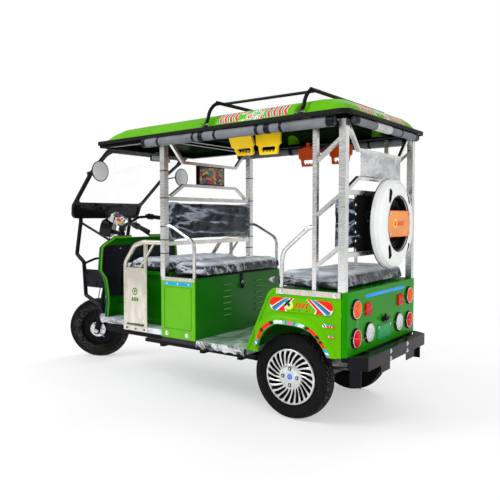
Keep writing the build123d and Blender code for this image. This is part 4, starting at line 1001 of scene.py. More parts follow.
# Each end of the large pressing's sticker: colour, layer, outline about the pressing's centre
endShapes = (
    (RED, 0, [(92, 38), (165, 38), (199, 22), (199, -2), (182, -14), (126, 22)]),
    (WHITE, 0, [(60, 38), (92, 38), (182, -14), (199, -6), (192, -26), (170, -38), (150, -38)]),
    (SKY, 1, [(66, 38), (78, 38), (176, -30), (166, -38), (160, -38)]),
    (BLACK, 1, [(86, 34), (96, 33), (183, -22), (176, -27)]),
    (GREY, 1, [(76, 38), (84, 38), (180, -30), (174, -34)]),
    (RED, 0, [(34, 38), (58, 38), (148, -38), (80, -38), (96, -16)]),
    (WHITE, 1, [(36, 38), (41, 38), (102, -17), (92, -38), (84, -38), (95, -16)]),
)
pressingAt = (114, 659)
middleShapes = (
    (YELLOW, 0, disc(-72, 0, 26)), (TEAL, 1, disc(-72, 0, 11)), (WHITE, 1, disc(-72, 0, 5)),
    (RED, 0, [(-38, -14), (-26, -14), (-12, 16), (-24, 16)]), (RED, 0, [(-16, -14), (-4, -14), (10, 16), (-2, 16)]),
    (RED, 0, [(6, -14), (18, -14), (32, 16), (20, 16)]), (RED, 0, [(28, -14), (40, -14), (54, 16), (42, 16)]),
    (BLACK, 0, disc(-40, -26, 4)), (RED, 0, disc(-24, -27, 4)), (BLACK, 0, disc(-8, -27, 4)),
    (TEAL, 0, disc(8, -27, 4)), (RED, 0, disc(24, -27, 4)), (BLACK, 0, disc(40, -27, 4)), (RED, 0, disc(56, -26, 4)),
)
bigField, upperField, lowerField = (
    [(u * 1000, v * 1000) for u, v in roundedOutline(*size)]
    for size in ((0.394, 0.074, 0.035), (0.070, 0.018, 0.0085), (0.034, 0.014, 0.0065)))
smallShapes = (
    (WHITE, 0, [(-36, 10), (-18, 10), (-6, -10), (-36, -10)]), (BLACK, 1, [(-34, 7), (-24, 7), (-12, -8), (-20, -8)]),
    (TEAL, 0, [(-18, 10), (30, 10), (20, 2), (-13, 2)]), (RED, 0, [(-13, 2), (36, 2), (36, -10), (-6, -10)]),
    (YELLOW, 1, disc(8, -2, 3)), (WHITE, 1, disc(22, -4, 3)),
)
archFront = [(-168, 405), (-152, 446), (-126, 487), (-98, 516), (-62, 540), (-20, 550), (80, 549), (130, 543),
             (183, 526), (220, 495), (250, 458), (285, 405)]
archFlare = [(-200, 405), (-180, 520), (-148, 560), (-100, 590), (-40, 606), (60, 607), (130, 600), (190, 582),
             (249, 540), (296, 480), (338, 405)]
# Stretches of the arch lip's sticker: from, to, colour
archBands = (
    (0.0, 0.012, RED), (0.012, 0.03, SKY), (0.03, 0.045, WHITE), (0.045, 0.07, SKY), (0.075, 0.16, RED),
    (0.16, 0.19, BLACK), (0.19, 0.285, RED), (0.285, 0.325, BLACK), (0.335, 0.42, WHITE), (0.42, 0.45, GREY),
    (0.45, 0.475, TEAL), (0.475, 0.53, PINK), (0.53, 0.56, TEAL), (0.56, 0.585, GREY), (0.585, 0.64, WHITE),
    (0.655, 0.69, BLACK), (0.69, 0.78, RED), (0.78, 0.815, BLACK), (0.815, 0.835, RED), (0.835, 0.86, BLACK),
    (0.86, 0.905, RED), (0.915, 0.945, SKY), (0.945, 0.965, WHITE), (0.965, 0.985, SKY), (0.985, 1.0, RED),
)


def spotAlong(line, t):
    lengths = [math.dist(line[step], line[step + 1]) for step in range(len(line) - 1)]
    left = min(1.0, max(0.0, t)) * sum(lengths)
    for step, length in enumerate(lengths):
        if left <= length or step == len(lengths) - 1:
            return [line[step][axis] + (line[step + 1][axis] - line[step][axis]) * left / length for axis in (0, 1)]
        left -= length


archInner = [archFront[0]] + archFront[2:]
archOuter = [(y + (innerY - y) * 0.55, z + (innerZ - z) * 0.55) for (y, z), (innerY, innerZ) in
             zip(archFlare, archInner)]


# A place on the lip's sticker: t along it, depth from its inner line to its outer line
def onLip(t, depth):
    inner, outer = spotAlong(archInner, t), spotAlong(archOuter, t)
    return inner[0] + (outer[0] - inner[0]) * depth, inner[1] + (outer[1] - inner[1]) * depth


for side, sideName in bothSides:
    stickers = Shape()
    face = sideways(side, faceX["panel"])
    for colour, layer, outline in endShapes:
        for mirrored in (False, True):
            lay(stickers, shifted(cutTo(shifted(outline, 0, 0, mirrored), bigField), *pressingAt), face, colour, layer)
    for colour, layer, outline in middleShapes:
        lay(stickers, shifted(outline, *pressingAt), face, colour, layer)
    for field, u, v in ((upperField, 282, 568), (lowerField, 300, 514)):
        for colour, layer, outline in smallShapes:
            lay(stickers, shifted(cutTo(outline[::-1], field), u, v), face, colour, layer)
    lip = sideways(side, faceX["lip"])
    for start, end, colour in archBands:
        steps = 1 + int((end - start) * 40)
        for step in range(steps):
            t0, t1 = start + (end - start) * step / steps, start + (end - start) * (step + 1) / steps
            lay(stickers, [onLip(t, depth) for t, depth in ((t0, 0.12), (t1, 0.12), (t1 + 0.01, 0.86),
                                                            (t0 + 0.01, 0.86))], lip, colour)
        if colour == WHITE and end - start > 0.05:
            for square in range(6):
                u, v = onLip(start + (end - start) * (square + 0.3) / 6, 0.32 if square % 2 else 0.68)
                lay(stickers, [(u - 4, v - 2.5), (u + 4, v - 2.5), (u + 4, v + 2.5), (u - 4, v + 2.5)], lip, GREY, 1)
    # Blue strip with three white dots at the head of the seat box's cheek
    lay(stickers, [(-904, 706), (-672, 706), (-672, 724), (-904, 724)], sideways(side, faceX["cheek"]), SKY)
    for u in (-880, -788, -696):
        lay(stickers, disc(u, 715, 4.5, 14), sideways(side, faceX["cheek"]), WHITE, 1)
    stickers.piece("sideStickers" + sideName, stickerLooks, "chassis", smooth=False)

# The arch lip's pressed form, rounded over to the panel
archForm = {"steps": 110, "lift": 0.0007, "profile": (0.0, 0.12, 0.3, 0.5, 0.62, 0.72, 0.8, 0.87, 0.93, 1.0)}
archShape = Shape()
innerLine, outerLine = ([(spot.x, spot.y) for spot in smoothPath([(*point, 0) for point in metres(line)], 9)]
                        for line in (archFront, archFlare))
for side in (1, -1):
    verts = []
    for step in range(archForm["steps"] + 1):
        t = step / archForm["steps"]
        inner, outer = spotAlong(innerLine, t), spotAlong(outerLine, t)
        for share in archForm["profile"]:
            over = max(0.0, (share - 0.45) / 0.55)
            x = 0.48 + 0.02 * math.cos(over * math.pi / 2) ** 0.8 + archForm["lift"] * (1 - over)
            verts.append(at(side * x, inner[0] + (outer[0] - inner[0]) * share,
                            inner[1] + (outer[1] - inner[1]) * share))
    archShape.add(verts, quadsOf(archForm["steps"] + 1, len(archForm["profile"])), 0)
archShape.piece("archForms", ["limePaint"], "chassis", sharp=180)

# Roof rack and grab rails with rounder bends than the solids have
rack = Shape()
for foot, top, low in ((-0.53, -0.475, 1.6525), (0.12, 0.157, 1.6606)):
    lean = top - foot - 0.012
    half = [(0.497, foot, low), (0.495, foot + 0.003, low + 0.03), (0.486, foot + 0.008, 1.71),
            (0.48, foot + 0.011, 1.738), (0.474, foot + 0.012 + lean * 0.2, 1.764),
            (0.46, foot + 0.012 + lean * 0.6, 1.789), (0.435, top - lean * 0.08, 1.798), (0.39, top, 1.7995)]
    path = [at(*point) for point in half] + [at(-x, y, z) for x, y, z in half[::-1]]
    addTube(rack, smoothPath(path, 5), 0.0105, 14, 0)
for side in (1, -1):
    addTube(rack, [at(side * 0.4, -0.475, 1.8), at(side * 0.4, 0.157, 1.8)], 0.0085, 12, 0)
rackPiece = rack.piece("roofRackSet", ["blackPaint"], "chassis", sharp=60)
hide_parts("roof_rack")
rails = Shape()
for side in (1, -1):
    for path in (((-0.662, 0.755), (-0.662, 0.86), (-0.662, 0.925), (-0.669, 0.965), (-0.697, 0.995), (-0.74, 1.018),
                  (-0.80, 1.05), (-0.835, 1.067), (-0.862, 1.076), (-0.893, 1.077)),
                 ((-0.022, 0.745), (-0.022, 0.84), (-0.021, 0.90), (-0.008, 0.945), (0.022, 0.975), (0.06, 1.006),
                  (0.11, 1.047), (0.135, 1.067), (0.152, 1.076), (0.176, 1.078))):
        addTube(rails, smoothPath([at(side * 0.455, y, z) for y, z in path], 6), 0.0115, 16, 0)
railPiece = rails.piece("grabRailSet", ["stainless"], "chassis", sharp=60)
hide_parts("grab_rails")

rearStickers = Shape()
lay(rearStickers, [(246, 696), (-296, 696), (-296, 715), (246, 715)], acrossAt(panelY), SKY)
rearStickers.piece("rearStickers", stickerLooks, "chassis", smooth=False)

# Bolts and rivets
boltTable = (
    # name, head radius, head height, sides, look, spots
    ("sillBolts", 0.0075, 0.006, 16, "chrome",
     [(at(side * x, y, z), (side, 0, 0)) for side in (1, -1) for x, y, z in
      ((0.4885, -0.008, 0.7265), (0.4885, 0.321, 0.7265), (0.4735, -0.897, 0.7445), (0.4735, -0.678, 0.7445))]),
    ("floorBolts", 0.0055, 0.004, 12, "blackSteel",
     [(at(side * 0.4715, y, 0.392), (side, 0, 0)) for side in (1, -1) for y in (-1.255, -1.172, -1.09)]),
    ("cheekBolts", 0.009, 0.006, 16, "chrome",
     [(at(side * 0.4725, y, 0.398), (side, 0, 0)) for side in (1, -1) for y in (-0.881, -0.711)]),
    ("bumperBolts", 0.008, 0.006, 6, "chrome",
     [(at(x, 0.4735, z), (0, 1, 0)) for x in (-0.12, 0.12) for z in (0.357, 0.397)]),
    # Near-black heads on the nose plate, in the finish of painted shade in holes
    ("nosePlateBolts", 0.008, 0.004, 12, "darkHole",
     [(at(side * 0.2545, y, z), (side, 0, 0)) for side in (1, -1) for y, z in
      ((-1.93, 0.63), (-1.93, 0.705), (-1.82, 0.63))]),
    ("labelRivets", 0.006, 0.002, 16, "chrome",
     [(at(x, 0.4695, 1.095 + z), (0, 1, 0)) for x in (-0.135, 0.135) for z in (-0.055, 0.055)]),
    ("boardRivets", 0.0045, 0.002, 12, "whitePlastic",
     [(at(side * 0.277, 0.3305, 0.955 + step * 0.0485), (0, 1, 0)) for side in (1, -1) for step in range(7)]),
    ("plateScrews", 0.0045, 0.002, 12, "chrome", [(at(x, 0.3852, 0.512), (0, 1, 0)) for x in (-0.08, 0.08)]),
    ("guardBolts", 0.005, 0.003, 12, "chrome",
     [(at(side * 0.4655, y, z), (side, 0, 0)) for side in (1, -1) for y in (-1.262, -1.098) for z in (0.45, 0.77)]),
    ("rackBolts", 0.009, 0.01, 6, "chrome",
     [(at(side * 0.513, y, 1.667 + (0.008 if y > 0 else 0)), (0, 0, 1)) for side in (1, -1)
      for y in (-0.552, -0.508, 0.098, 0.142)]),
    ("snaps", 0.008, 0.004, 16, "whitePlastic", [(at(x, -1.6055, 0.9), (0, 1, 0)) for x in (0.21, -0.21)]),
)
for name, radius, height, sides, look, spots in boltTable:
    boltField(name, spots, radius, height, look, "chassis", sides)
print("stickers and bolts made")

# Curtains rolled up under the roof, cinched where their straps go round
sideRoll, rearRoll = {"x": 0.5023, "radius": 0.027}, {"y": 0.3903, "z": 1.622, "radius": 0.021}
rollTable = (
    # name, start, end, radius, straps as (place along the roll in metres of the axis, width), black end length
    ("curtainLeft", at(sideRoll["x"], -1.04, 1.6), at(sideRoll["x"], 0.32, 1.615), sideRoll["radius"],
     ((-0.903, 0.016), (-0.614, 0.016), (-0.555, 0.034), (-0.448, 0.017), (-0.152, 0.02), (-0.083, 0.036),
      (0.005, 0.017), (0.288, 0.016)), 0.03),
    ("curtainRight", at(-sideRoll["x"], -1.04, 1.6), at(-sideRoll["x"], 0.32, 1.615), sideRoll["radius"],
     ((-0.9, 0.016), (-0.56, 0.03), (-0.4, 0.017), (-0.1, 0.034), (0.05, 0.016), (0.29, 0.016)), 0.03),
    ("curtainRear", at(0.43, rearRoll["y"], rearRoll["z"]), at(-0.43, rearRoll["y"], rearRoll["z"]), rearRoll["radius"],
     ((0.405, 0.018), (0.021, 0.016), (-0.17, 0.016), (-0.392, 0.016)), 0.022),
)


def rollPiece(name, start, end, radius, straps, blackEnd, along="y"):
    roll = Shape()
    length = (end - start).length
    axis = (end - start).normalized()
    across, upward = frameFor(axis)
    spots = []
    for place, wide in straps:
        value = (place + rearY - start.y) / (end.y - start.y) if along == "y" else (place - start.x) / (end.x - start.x)
        spots.append((value * length, wide))
    rings, sides = int(length / 0.005), 40
    verts = []
    for ring in range(rings + 1):
        travel = length * ring / rings
        pinch = sum(math.exp(-((travel - spot) / (wide * 0.9)) ** 2) for spot, wide in spots)
        for side in range(sides):
            turn = 2 * math.pi * side / sides
            seed = Vector((travel * 16, math.cos(turn) * 1.4, math.sin(turn) * 1.4 + radius * 90))
            swell = 1.0 + 0.045 * noise.noise(seed) + 0.03 * noise.noise(seed * 2.7) - 0.07 * min(1, pinch)
            flap = 0.06 * max(0.0, 1 - abs(turn - 4.1) * 6) * (1 - min(1, pinch))
            verts.append(start + axis * travel + (across * math.cos(turn) + upward * math.sin(turn)) * radius *
                         (swell + flap) * (0.985 if ring in (0, rings) else 1.0))
    roll.add(verts, quadsOf(rings + 1, sides, closeColumns=True) + endsOf(rings + 1, sides), 0)
    for spot, wide in spots:
        centre = start + axis * spot
        profile = [(-wide / 2, radius * 0.9), (-wide / 2, radius * 1.02), (-wide * 0.3, radius * 1.045),
                   (wide * 0.3, radius * 1.045), (wide / 2, radius * 1.02), (wide / 2, radius * 0.9)]
        addLathe(roll, centre, axis, profile, 40, 1)
    # The end shows the turns of the rolled cloth inside a black band
    for tip, aim in ((start, -axis), (end, axis)):
        addLathe(roll, tip, aim, [(-blackEnd, radius * 0.9), (-blackEnd, radius * 1.06), (0.001, radius * 1.05),
                                  (0.0025, radius * 0.95), (0.0005, radius * 0.88)], 40, 1)
        for share in (0.8, 0.6, 0.4, 0.2):
            addLathe(roll, tip, aim, [(0.0, radius * (share + 0.07)), (0.0022, radius * (share + 0.03)),
                                      (0.0, radius * (share - 0.03))], 30, 1)
    return roll.piece(name, ["greyRexine", "blackRexine"], "chassis", sharp=50)


rolls = [rollPiece(*row, along="x" if "Rear" in row[0] else "y") for row in rollTable]
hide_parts("curtain_rolls")
# Clear film left on the rear roll
filmPatch = Shape()
addLathe(filmPatch, at(0.182, rearRoll["y"], rearRoll["z"]), (-1, 0, 0),
         [(0.0, 0.0222), (0.0, 0.0232), (0.06, 0.0236), (0.12, 0.0229), (0.19, 0.0236), (0.2, 0.0222)], 40, 0)
filmPatch.piece("rollFilm", "signFilm", "chassis")
print("curtains made")

# Spare wheel: a tyre in the cover, the cover's rubber lips and its label's folded border
spareZ, labelY = 1.095, 0.4651
ringSet = Shape()
for radius, y, thickness, steps in ((0.157, 0.4605, 0.0028, 72), (0.251, 0.4, 0.0028, 72), (0.12, 0.408, 0.004, 60),
                                    (0.135, 0.418, 0.004, 60)):
    addTube(ringSet, [at(radius * math.cos(turn), y, spareZ + radius * math.sin(turn))
                      for turn in (2 * math.pi * step / steps for step in range(steps))], thickness, 8, 0, closed=True)
ringSet.piece("spareRings", ["glossPlastic"], "chassis")
labelTrim = Shape()
for v in (-0.0712, 0.0712):
    addTube(labelTrim, [at(-0.135, 0.466, spareZ + v), at(0.135, 0.466, spareZ + v)], 0.0015, 8, 0)
addPlate(labelTrim, metres(disc(62, 1097, 24)), 0.0006, acrossAt(labelY), 1)
addPlate(labelTrim, metres(disc(62, 1097, 17)), 0.0009, acrossAt(labelY), 0)
for u in (24, 6, -12, -30, -48):
    addPlate(labelTrim, metres([(u - 5, 1084), (u + 5, 1084), (u - 1, 1110), (u - 11, 1110)]), 0.0006,
             acrossAt(labelY), 2)
labelTrim.piece("labelTrim", ["orangePlastic", "yellowVinyl", "redVinyl"], "chassis")
print("spare trimmed")

# Boards: printed picture, crinkled film over the rear sign
boards = Shape()
addBox(boards, at(-0.137, -0.925, 1.35), at(0.137, -0.921, 1.478), 0, 0.0012)
addBox(boards, at(-0.137, -0.901, 1.35), at(0.137, -0.897, 1.478), 0, 0.0012)
addBox(boards, at(-0.27, 0.352, 1.35), at(0.27, 0.356, 1.478), 1, 0.0012)
addBox(boards, at(-0.285, 0.3255, 0.93), at(0.285, 0.3295, 1.27), 2, 0.0012)
for y, aim in ((-0.9255, -1), (-0.8965, 1)):
    addPlate(boards, [(-0.129, 1.358), (0.129, 1.358), (0.129, 1.47), (-0.129, 1.47)], 0.0006,
             acrossAt(y, aim=aim), 3)
    for edge in (1.354, 1.474):
        addTube(boards, [at(-0.135, y + aim * 0.0006, edge), at(0.135, y + aim * 0.0006, edge)], 0.0022, 8, 0)
for edge in (1.352, 1.476):
    addTube(boards, [at(-0.268, 0.3562, edge), at(0.268, 0.3562, edge)], 0.0035, 8, 4)
boardLooks = ["blackPlastic", "signFilm", "blackPlastic", "boardPrint", "stainless"]
boardPiece = boards.piece("boardSet", boardLooks, "chassis")
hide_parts("sign_boards")

# Mirror faces inside their rims, near white as painted reflection, and the outer bead of the windshield
mirrorX, mirrorZ = 0.418, 1.454
mirrorSet = Shape()
for side in (1, -1):
    spot = at(side * mirrorX, -1.566, mirrorZ)
    addLathe(mirrorSet, spot, (0, 1, 0), [(-0.018, 0.0), (-0.018, 0.055), (-0.012, 0.068), (-0.002, 0.0735),
                                          (0.002, 0.0725), (0.0025, 0.0695), (0.0008, 0.067)], 56, 1)
    addLathe(mirrorSet, spot, (0, 1, 0), [(0.0008, 0.068), (0.0018, 0.04), (0.0022, 0.0)], 56, 0)
    addTube(mirrorSet, smoothPath([at(side * mirrorX, -1.576, mirrorZ), at(side * mirrorX, -1.66, 1.456),
                                   at(side * 0.412, -1.715, 1.449), at(side * 0.3795, -1.738, 1.44)], 6), 0.0052, 12, 1)
    addTube(mirrorSet, [at(side * 0.388, -1.738, 1.4405), at(side * 0.3795, -1.738, 1.4398)], 0.011, 12, 1)
addBox(mirrorSet, at(-0.1, -1.4, 1.54), at(0.1, -1.3885, 1.585), 1, 0.004)
addPlate(mirrorSet, roundedOutline(0.186, 0.034, 0.008), 0.0008, acrossAt(-1.3886, z=1.5625), 0)
addTube(mirrorSet, [at(0, -1.394, 1.575), at(0, -1.394, 1.6), at(0, -1.405, 1.612), at(0, -1.46, 1.612)], 0.006, 12, 1)
mirrorPiece = mirrorSet.piece("mirrorSet", ["mirrorPaintedReflection", "glossPlastic"], "chassis")
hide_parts("mirrors")
print("boards and mirrors made")

# Nose: frame of the steered parts as they are parked
steerFoot = Vector(joints["steering_turn"]["pos_m"])
steerUp = Vector(joints["steering_turn"]["axis"]).normalized()
steerSide = spinAxis.normalized()
steerFore = steerSide.cross(steerUp)


def held(x, fore, up):
    return steerFoot + steerSide * x + steerFore * fore + steerUp * up


# Instruments: screen, button row, key with its tag; lens and red rim on the headlamp
dialUp = (steerUp - steerFore * 0.35).normalized()
dialFore = steerSide.cross(dialUp)
dialAt = held(0, 0.062, 0.892) + dialUp * 0.044
headlampUp = 0.822
controls = Shape()
controlLooks = ["glossPlastic", "whitePlastic", "orangePlastic", "yellowPlastic", "chrome", "redVinyl", "clearLens",
                "blackPlastic"]


def onDial(u, v, height):
    return dialAt + steerSide * u + dialFore * v + dialUp * height


addPlate(controls, roundedOutline(0.118, 0.05, 0.008), 0.002, lambda u, v, h: onDial(u, v + 0.012, h), 0, 0.001)
for index in range(5):
    addPlate(controls, roundedOutline(0.016, 0.011, 0.003), 0.004,
             lambda u, v, h, index=index: onDial(u - 0.056 + index * 0.028, v - 0.032, h),
             (7, 1, 7, 7, 1)[index], 0.001)
addLathe(controls, onDial(0.066, -0.02, 0), dialUp,
         [(-0.002, 0.013), (0.006, 0.013), (0.008, 0.010), (0.008, 0.0)], 24, 4)
addPlate(controls, roundedOutline(0.022, 0.034, 0.006), 0.004,
         lambda u, v, h: onDial(0.086 + h, v - 0.03, u + 0.002), 2, 0.001)
addPlate(controls, roundedOutline(0.016, 0.026, 0.005), 0.003,
         lambda u, v, h: onDial(0.0905 + h, v - 0.048, u - 0.014), 3, 0.001)
addPlate(controls, roundedOutline(0.15, 0.11, 0.034), 0.004,
         lambda u, v, h: held(u, 0.154 + h, headlampUp + v), 5, 0.002)
addPlate(controls, roundedOutline(0.128, 0.088, 0.028), 0.0035,
         lambda u, v, h: held(u, 0.158 + h, headlampUp + v), 6, 0.002)
for u in (0.036, -0.036):
    addLathe(controls, held(u, 0.02, 0.874), steerUp,
             [(0.0, 0.009), (0.004, 0.009), (0.005, 0.006), (0.005, 0.0)], 16, 4)
controls.piece("controlsDetail", controlLooks, "steering")

# Wheel brake arm, axle nuts and the horn on the nose
ironwork = Shape()
for end, aim in ((0.104, 1), (-0.104, -1)):
    addLathe(ironwork, held(end, 0.035, 0.0), steerSide * aim,
             [(-0.004, 0.016), (0.0, 0.016), (0.0, 0.011), (0.009, 0.011), (0.011, 0.008), (0.011, 0.0)], 18, 0)
addTube(ironwork, [held(0.064, 0.03, 0.0), held(0.068, 0.075, 0.035), held(0.066, 0.078, 0.05)], 0.005, 10, 0)
addTube(ironwork, [held(0.062, 0.035, -0.02), held(0.066, -0.03, -0.045)], 0.004, 10, 0)
addLathe(ironwork, held(0.0585, 0.035, 0.0), steerSide,
         [(0.0, 0.03), (0.004, 0.028), (0.005, 0.018), (0.005, 0.0)], 30, 0)
ironwork.piece("brakeArm", "chrome", "steering")
horn = Shape()
addLathe(horn, at(0.262, -1.715, 0.84), (0.3, -1, 0.1),
         [(-0.03, 0.0), (-0.028, 0.022), (-0.01, 0.03), (0.006, 0.042), (0.012, 0.041), (0.008, 0.03), (0.002, 0.012),
          (0.004, 0.0)], 36, 0)
addTube(horn, [at(0.262, -1.70, 0.84), at(0.262, -1.665, 0.85), at(0.262, -1.638, 0.85)], 0.006, 8, 1)
addTube(horn, [at(0.262, -1.69, 0.76), at(0.262, -1.665, 0.765), at(0.262, -1.638, 0.77)], 0.014, 12, 0)
horn.piece("hornSet", ["chrome", "blackSteel"], "chassis")

# Leg shield: lime edging with a violet seam inside it
def insetLine(points, amount):
    moved = []
    for index, point in enumerate(points):
        before, after = points[max(0, index - 1)], points[min(len(points) - 1, index + 1)]
        way = Vector((after[0] - before[0], after[1] - before[1])).normalized()
        moved.append((point[0] + way.y * amount, point[1] - way.x * amount))
    return moved


shieldEdge = [(0.10, 0.982), (0.25, 0.98), (0.27, 0.971), (0.362, 0.924), (0.374, 0.905), (0.388, 0.768),
              (0.386, 0.744), (0.348, 0.698), (0.340, 0.675), (0.331, 0.617), (0.323, 0.535), (0.333, 0.412)]
shieldY = -1.6056
edging = Shape()
for side in (1, -1):
    for inset, look, radius in ((-0.004, 0, 0.0085), (-0.0145, 1, 0.0035)):
        line = insetLine(shieldEdge, inset)
        path = smoothPath([at(side * x, shieldY - 0.0002, z) for x, z in line], 5)
        addTube(edging, path, radius, 10, look)
edging.piece("shieldEdging", ["limePaint", "violetEdge"], "chassis")

# Cloth of the pocket cover, with a hem and soft folds
pocket = Shape()
pocketOutline = [(0.558, 0.312), (0.617, 0.318), (0.685, 0.328), (0.754, 0.376), (0.9, 0.365), (0.925, 0.35)]
across, tall = 60, 48
pocketForm = {"low": 0.56, "high": 0.922, "hemFrom": 0.855, "hem": 0.0035, "inset": 0.004}
verts = []
for row in range(tall + 1):
    z = pocketForm["low"] + (pocketForm["high"] - pocketForm["low"]) * row / tall
    for (z0, x0), (z1, x1) in zip(pocketOutline, pocketOutline[1:]):
        if z0 <= z <= z1 + 1e-6:
            half = x0 + (x1 - x0) * (z - z0) / (z1 - z0) - pocketForm["inset"]
    for column in range(across + 1):
        x = -half + 2 * half * column / across
        rim = min(1.0, 10 * min(row, tall - row) / tall) * min(1.0, 10 * min(column, across - column) / across)
        fold = 0.5 + 0.5 * math.sin(z * 38 + 9 * noise.noise(Vector((x * 5, z * 4, 2.0))))
        soft = noise.noise(Vector((x * 9, z * 7, 5.1)))
        hem = pocketForm["hem"] if z > pocketForm["hemFrom"] else 0.0
        verts.append(at(x, shieldY + 0.0008 + rim * (0.0035 * fold + 0.003 * soft + 0.003) + hem * rim, z))
pocket.add(verts, quadsOf(tall + 1, across + 1), 0)
addTube(pocket, [at(x / 100, shieldY + 0.0051, 0.856) for x in range(-35, 36, 5)], 0.0018, 6, 0)
pocket.piece("pocketCloth", ["blackRexine"], "chassis", sharp=60)
print("nose made")


# Crumpled protective film along the floor edges, and pointed film corners on the seats
def filmSkirt(name, path, low, high, look, out, seed, ragged):
    skirt = Shape()
    rows, verts = 8, []
    for index, (x, y, nx, ny) in enumerate(path):
        for row in range(rows + 1):
            share = row / rows
            drop = ragged * max(0.0, noise.noise(Vector((index * 0.23, seed, 1.0))) + 0.3) * (1 - share)
            z = low + (high - low) * share - drop
            swell = 0.45 + 0.9 * noise.noise(Vector((x * 26 + y * 26, z * 60, seed)))
            away = 0.0015 + max(0, out * swell * math.sin(math.pi * min(1, share + 0.12)))
            verts.append(at(x + nx * away, y + ny * away, z))
    skirt.add(verts, quadsOf(len(path), rows + 1), 0)
    return skirt.piece(name, look, "chassis", sharp=60)


def walk(points, step=0.008):
    path = []
    for (x0, y0), (x1, y1) in zip(points, points[1:]):
        length = math.hypot(x1 - x0, y1 - y0)
        nx, ny = (y1 - y0) / length, -(x1 - x0) / length
        for index in range(max(1, int(length / step))):
            t = index * step / length
            path.append((x0 + (x1 - x0) * t, y0 + (y1 - y0) * t, nx, ny))
    return path


for side, sideName in bothSides:
    floorPath = [(side * x, y, side * nx, ny) for x, y, nx, ny in walk([(0.465, -0.64), (0.465, -0.262)])]
    filmSkirt("floorSkirt" + sideName, floorPath, 0.338, 0.3765, "edgeFilm", 0.009, 3.0 + side, 0.012)
    trayPath = [(side * x, y, side * nx, ny) for x, y, nx, ny in
                walk([(0.247, -1.788), (0.357, -1.65), (0.357, -1.296)])]
    filmSkirt("traySkirt" + sideName, trayPath, 0.374, 0.4115, "edgeFilm", 0.008, 7.0 + side, 0.006)
corners = Shape()
rings, sides = 8, 12
for tip, base, seed in (
        (at(0.405, -1.345, 0.81), at(0.385, -1.296, 0.8), 1.0), (at(0.445, -0.575, 0.8), at(0.425, -0.61, 0.8), 2.0),
        (at(-0.405, -1.345, 0.81), at(-0.385, -1.296, 0.8), 3.0),
        (at(0.452, -0.115, 0.785), at(0.425, -0.085, 0.785), 4.0)):
    verts = []
    for ring in range(rings + 1):
        share = ring / rings
        centre = base + (tip - base) * share
        for step in range(sides):
            turn = 2 * math.pi * step / sides
            radius = 0.025 * (1 - share) ** 0.8 + 0.0015
            ripple = 1 + 0.35 * noise.noise(Vector((share * 4, turn * 1.5, seed)))
            flattened = Vector((math.cos(turn) * 0.5, math.sin(turn) * 0.35, math.sin(turn) * 0.9))
            verts.append(centre + flattened * radius * ripple)
    corners.add(verts, quadsOf(rings + 1, sides, closeColumns=True) + endsOf(rings + 1, sides)[1:], 0)
corners.piece("filmCorners", "edgeFilm", "chassis", sharp=70)
print("films made")

# Ties round the front posts and the padlock
ties = Shape()
for side in (1, -1):
    for z in (0.9, 0.985, 1.07, 1.25, 1.42):
        x0, x1 = sorted((side * 0.4355, side * 0.4765))
        addBox(ties, at(x0, -0.9315, z), at(x1, -0.8905, z + 0.006), 0, 0.001)
addTube(ties, [at(-0.006, -0.638, 0.69), at(-0.006, -0.632, 0.705), at(0.006, -0.632, 0.705), at(0.006, -0.638, 0.69)],
        0.0025, 8, 1)
addBox(ties, at(-0.0125, -0.6405, 0.655), at(0.0125, -0.6275, 0.69), 0, 0.003)
addLathe(ties, at(0, -0.6275, 0.668), (0, 1, 0), [(0.0, 0.005), (0.0015, 0.0045), (0.0015, 0.0)], 12, 0)
ties.piece("tiesAndLock", ["blackPlastic", "chrome"], "chassis")

# Lips of the box's louvres in a pale green as painted highlights, and plain shapes on the door guards
lips = Shape()
for column in (0.158, -0.2):
    for row in range(6):
        z = 0.4945 + 0.04 * row
        addTube(lips, [at(column - 0.0405, -0.6396, z), at(column + 0.0405, -0.6396, z)], 0.0019, 6, 0)
lips.piece("louvreLips", ["pressedEdge"], "chassis")
guardTrim = Shape()
for side in (1, -1):
    face = sideways(side, faceX["guard"])
    for radius, thickness, slot in ((24, 0.0003, 0), (17, 0.0005, 1), (8, 0.0007, 0)):
        addPlate(guardTrim, metres(disc(-1180, 640, radius)), thickness, face, slot)
    for step in range(4):
        u = -1212 + step * 17
        addPlate(guardTrim, metres([(u, 575), (u + 11, 575), (u + 15, 600), (u + 4, 600)]), 0.0004, face, 0)
guardTrim.piece("guardTrim", ["deepPaint", "creamSteel"], "chassis")
print("trim made")


# Floor, light and camera
floorMesh = bpy.data.meshes.new("floor")
floorMesh.from_pydata([(-40, -40, 0), (40, -40, 0), (40, 40, 0), (-40, 40, 0)], [], [(0, 1, 2, 3)])
floor = bpy.data.objects.new("floor", floorMesh)
scene.collection.objects.link(floor)


def floorLook():
    tree, shader, place = newLook("studioFloor")
    toned = toneOf(tree, place, (0.9, 0.9, 0.905), 0.6, 0.01)
    setShader(tree, shader, Base_Color=toned["Color"], Roughness=0.8, Specular_IOR_Level=0.1)
    # Far from the object the floor fades to the white behind it
    reach = addNode(tree, "VectorMath", {0: place}, operation="LENGTH").outputs["Value"]
    glow = addNode(tree, "Emission", {"Color": (1, 1, 1, 1), "Strength": 1.0})
    far = mathNode(tree, "MULTIPLY", spread(tree, reach, 1.6, 4.2, 0.45, 1.0),
                   addNode(tree, "LightPath").outputs["Is Camera Ray"])
    mixed = addNode(tree, "MixShader", {0: far, 1: shader.outputs["BSDF"], 2: glow.outputs["Emission"]})
    tree.links.new(mixed.outputs["Shader"], tree.nodes["Material Output"].inputs["Surface"])


floorLook()
floorMesh.materials.append(looks["studioFloor"])

world = bpy.data.worlds.new("studio")
scene.world = world
world.use_nodes = True
sky = world.node_tree
background = sky.nodes["Background"]
rays = addNode(sky, "LightPath")
seen = mathNode(sky, "MAXIMUM", rays.outputs["Is Camera Ray"], rays.outputs["Is Transmission Ray"])
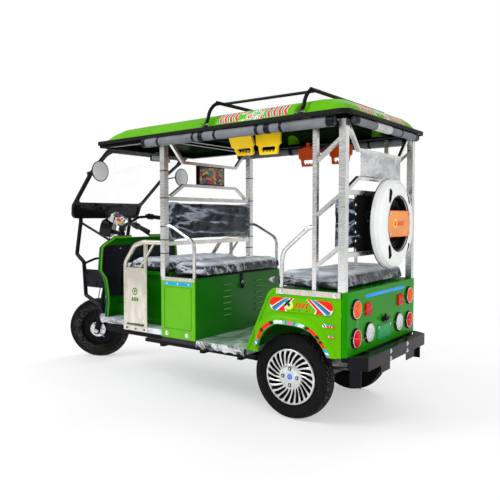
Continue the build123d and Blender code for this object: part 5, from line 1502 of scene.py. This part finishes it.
# Reflections see a studio with bright and dark sides, and everything else an even white
around = addNode(sky, "TexCoord").outputs["Generated"]
sides = splitOf(sky, around)
patches = noiseOf(sky, around, 1.7, 1.0)
rise = spread(sky, sides["Z"], -0.1, 0.7, 0.15, 0.95)
toward = spread(sky, mathNode(sky, "SUBTRACT", sides["Y"], sides["X"]), -1.2, 1.2, 0.0, 0.4)
studio = mathNode(sky, "MULTIPLY", mathNode(sky, "ADD", rise, toward), spread(sky, patches, 0.4, 0.6, 0.25, 1.1))
fill = mathNode(sky, "MULTIPLY", rays.outputs["Is Glossy Ray"], mathNode(sky, "SUBTRACT", studio, 0.78))
strength = mathNode(sky, "MAXIMUM", mathNode(sky, "ADD", fill, 0.78), seen)
sky.links.new(strength, background.inputs["Strength"])
background.inputs["Color"].default_value = (1, 1, 1, 1)


def areaLight(name, place, target, size, power, mirrored=True):
    data = bpy.data.lights.new(name, "AREA")
    data.shape = "RECTANGLE"
    data.size, data.size_y = size
    data.energy = power
    lamp = bpy.data.objects.new(name, data)
    lamp.location = place
    lamp.rotation_euler = (Vector(target) - Vector(place)).to_track_quat("-Z", "Y").to_euler()
    lamp.visible_glossy = mirrored
    scene.collection.objects.link(lamp)


areaLight("key", (4.5, -3.0, 5.0), (0, 0, 0.8), (3, 3), 210)
areaLight("side", (3.5, 4.5, 3.0), (0, 0, 0.8), (3, 2), 90, False)
areaLight("back", (-5.0, 0.0, 4.5), (0, 0, 1.0), (4, 3), 120, False)

# The camera solved from the photograph: focal length and width in its pixels, sensor in millimetres
view = {"place": (3.1877, 2.6579, 1.1298), "heading": 36.103, "pitch": 3.133, "focal": 594.48, "width": 500,
        "sensor": 36}
camera = bpy.data.objects.new("camera", bpy.data.cameras.new("camera"))
scene.collection.objects.link(camera)
camera.data.sensor_width = view["sensor"]
camera.data.sensor_fit = "HORIZONTAL"
camera.data.lens = view["focal"] / view["width"] * view["sensor"]
camera.location = view["place"]
heading, pitch = math.radians(view["heading"]), math.radians(view["pitch"])
ahead = Vector((-math.cos(heading) * math.cos(pitch), -math.sin(heading) * math.cos(pitch), -math.sin(pitch)))
camera.rotation_euler = ahead.to_track_quat("-Z", "Y").to_euler()
camera.data.clip_end = 200
scene.camera = camera
scene.view_settings.view_transform = "Standard"
print("stage made")
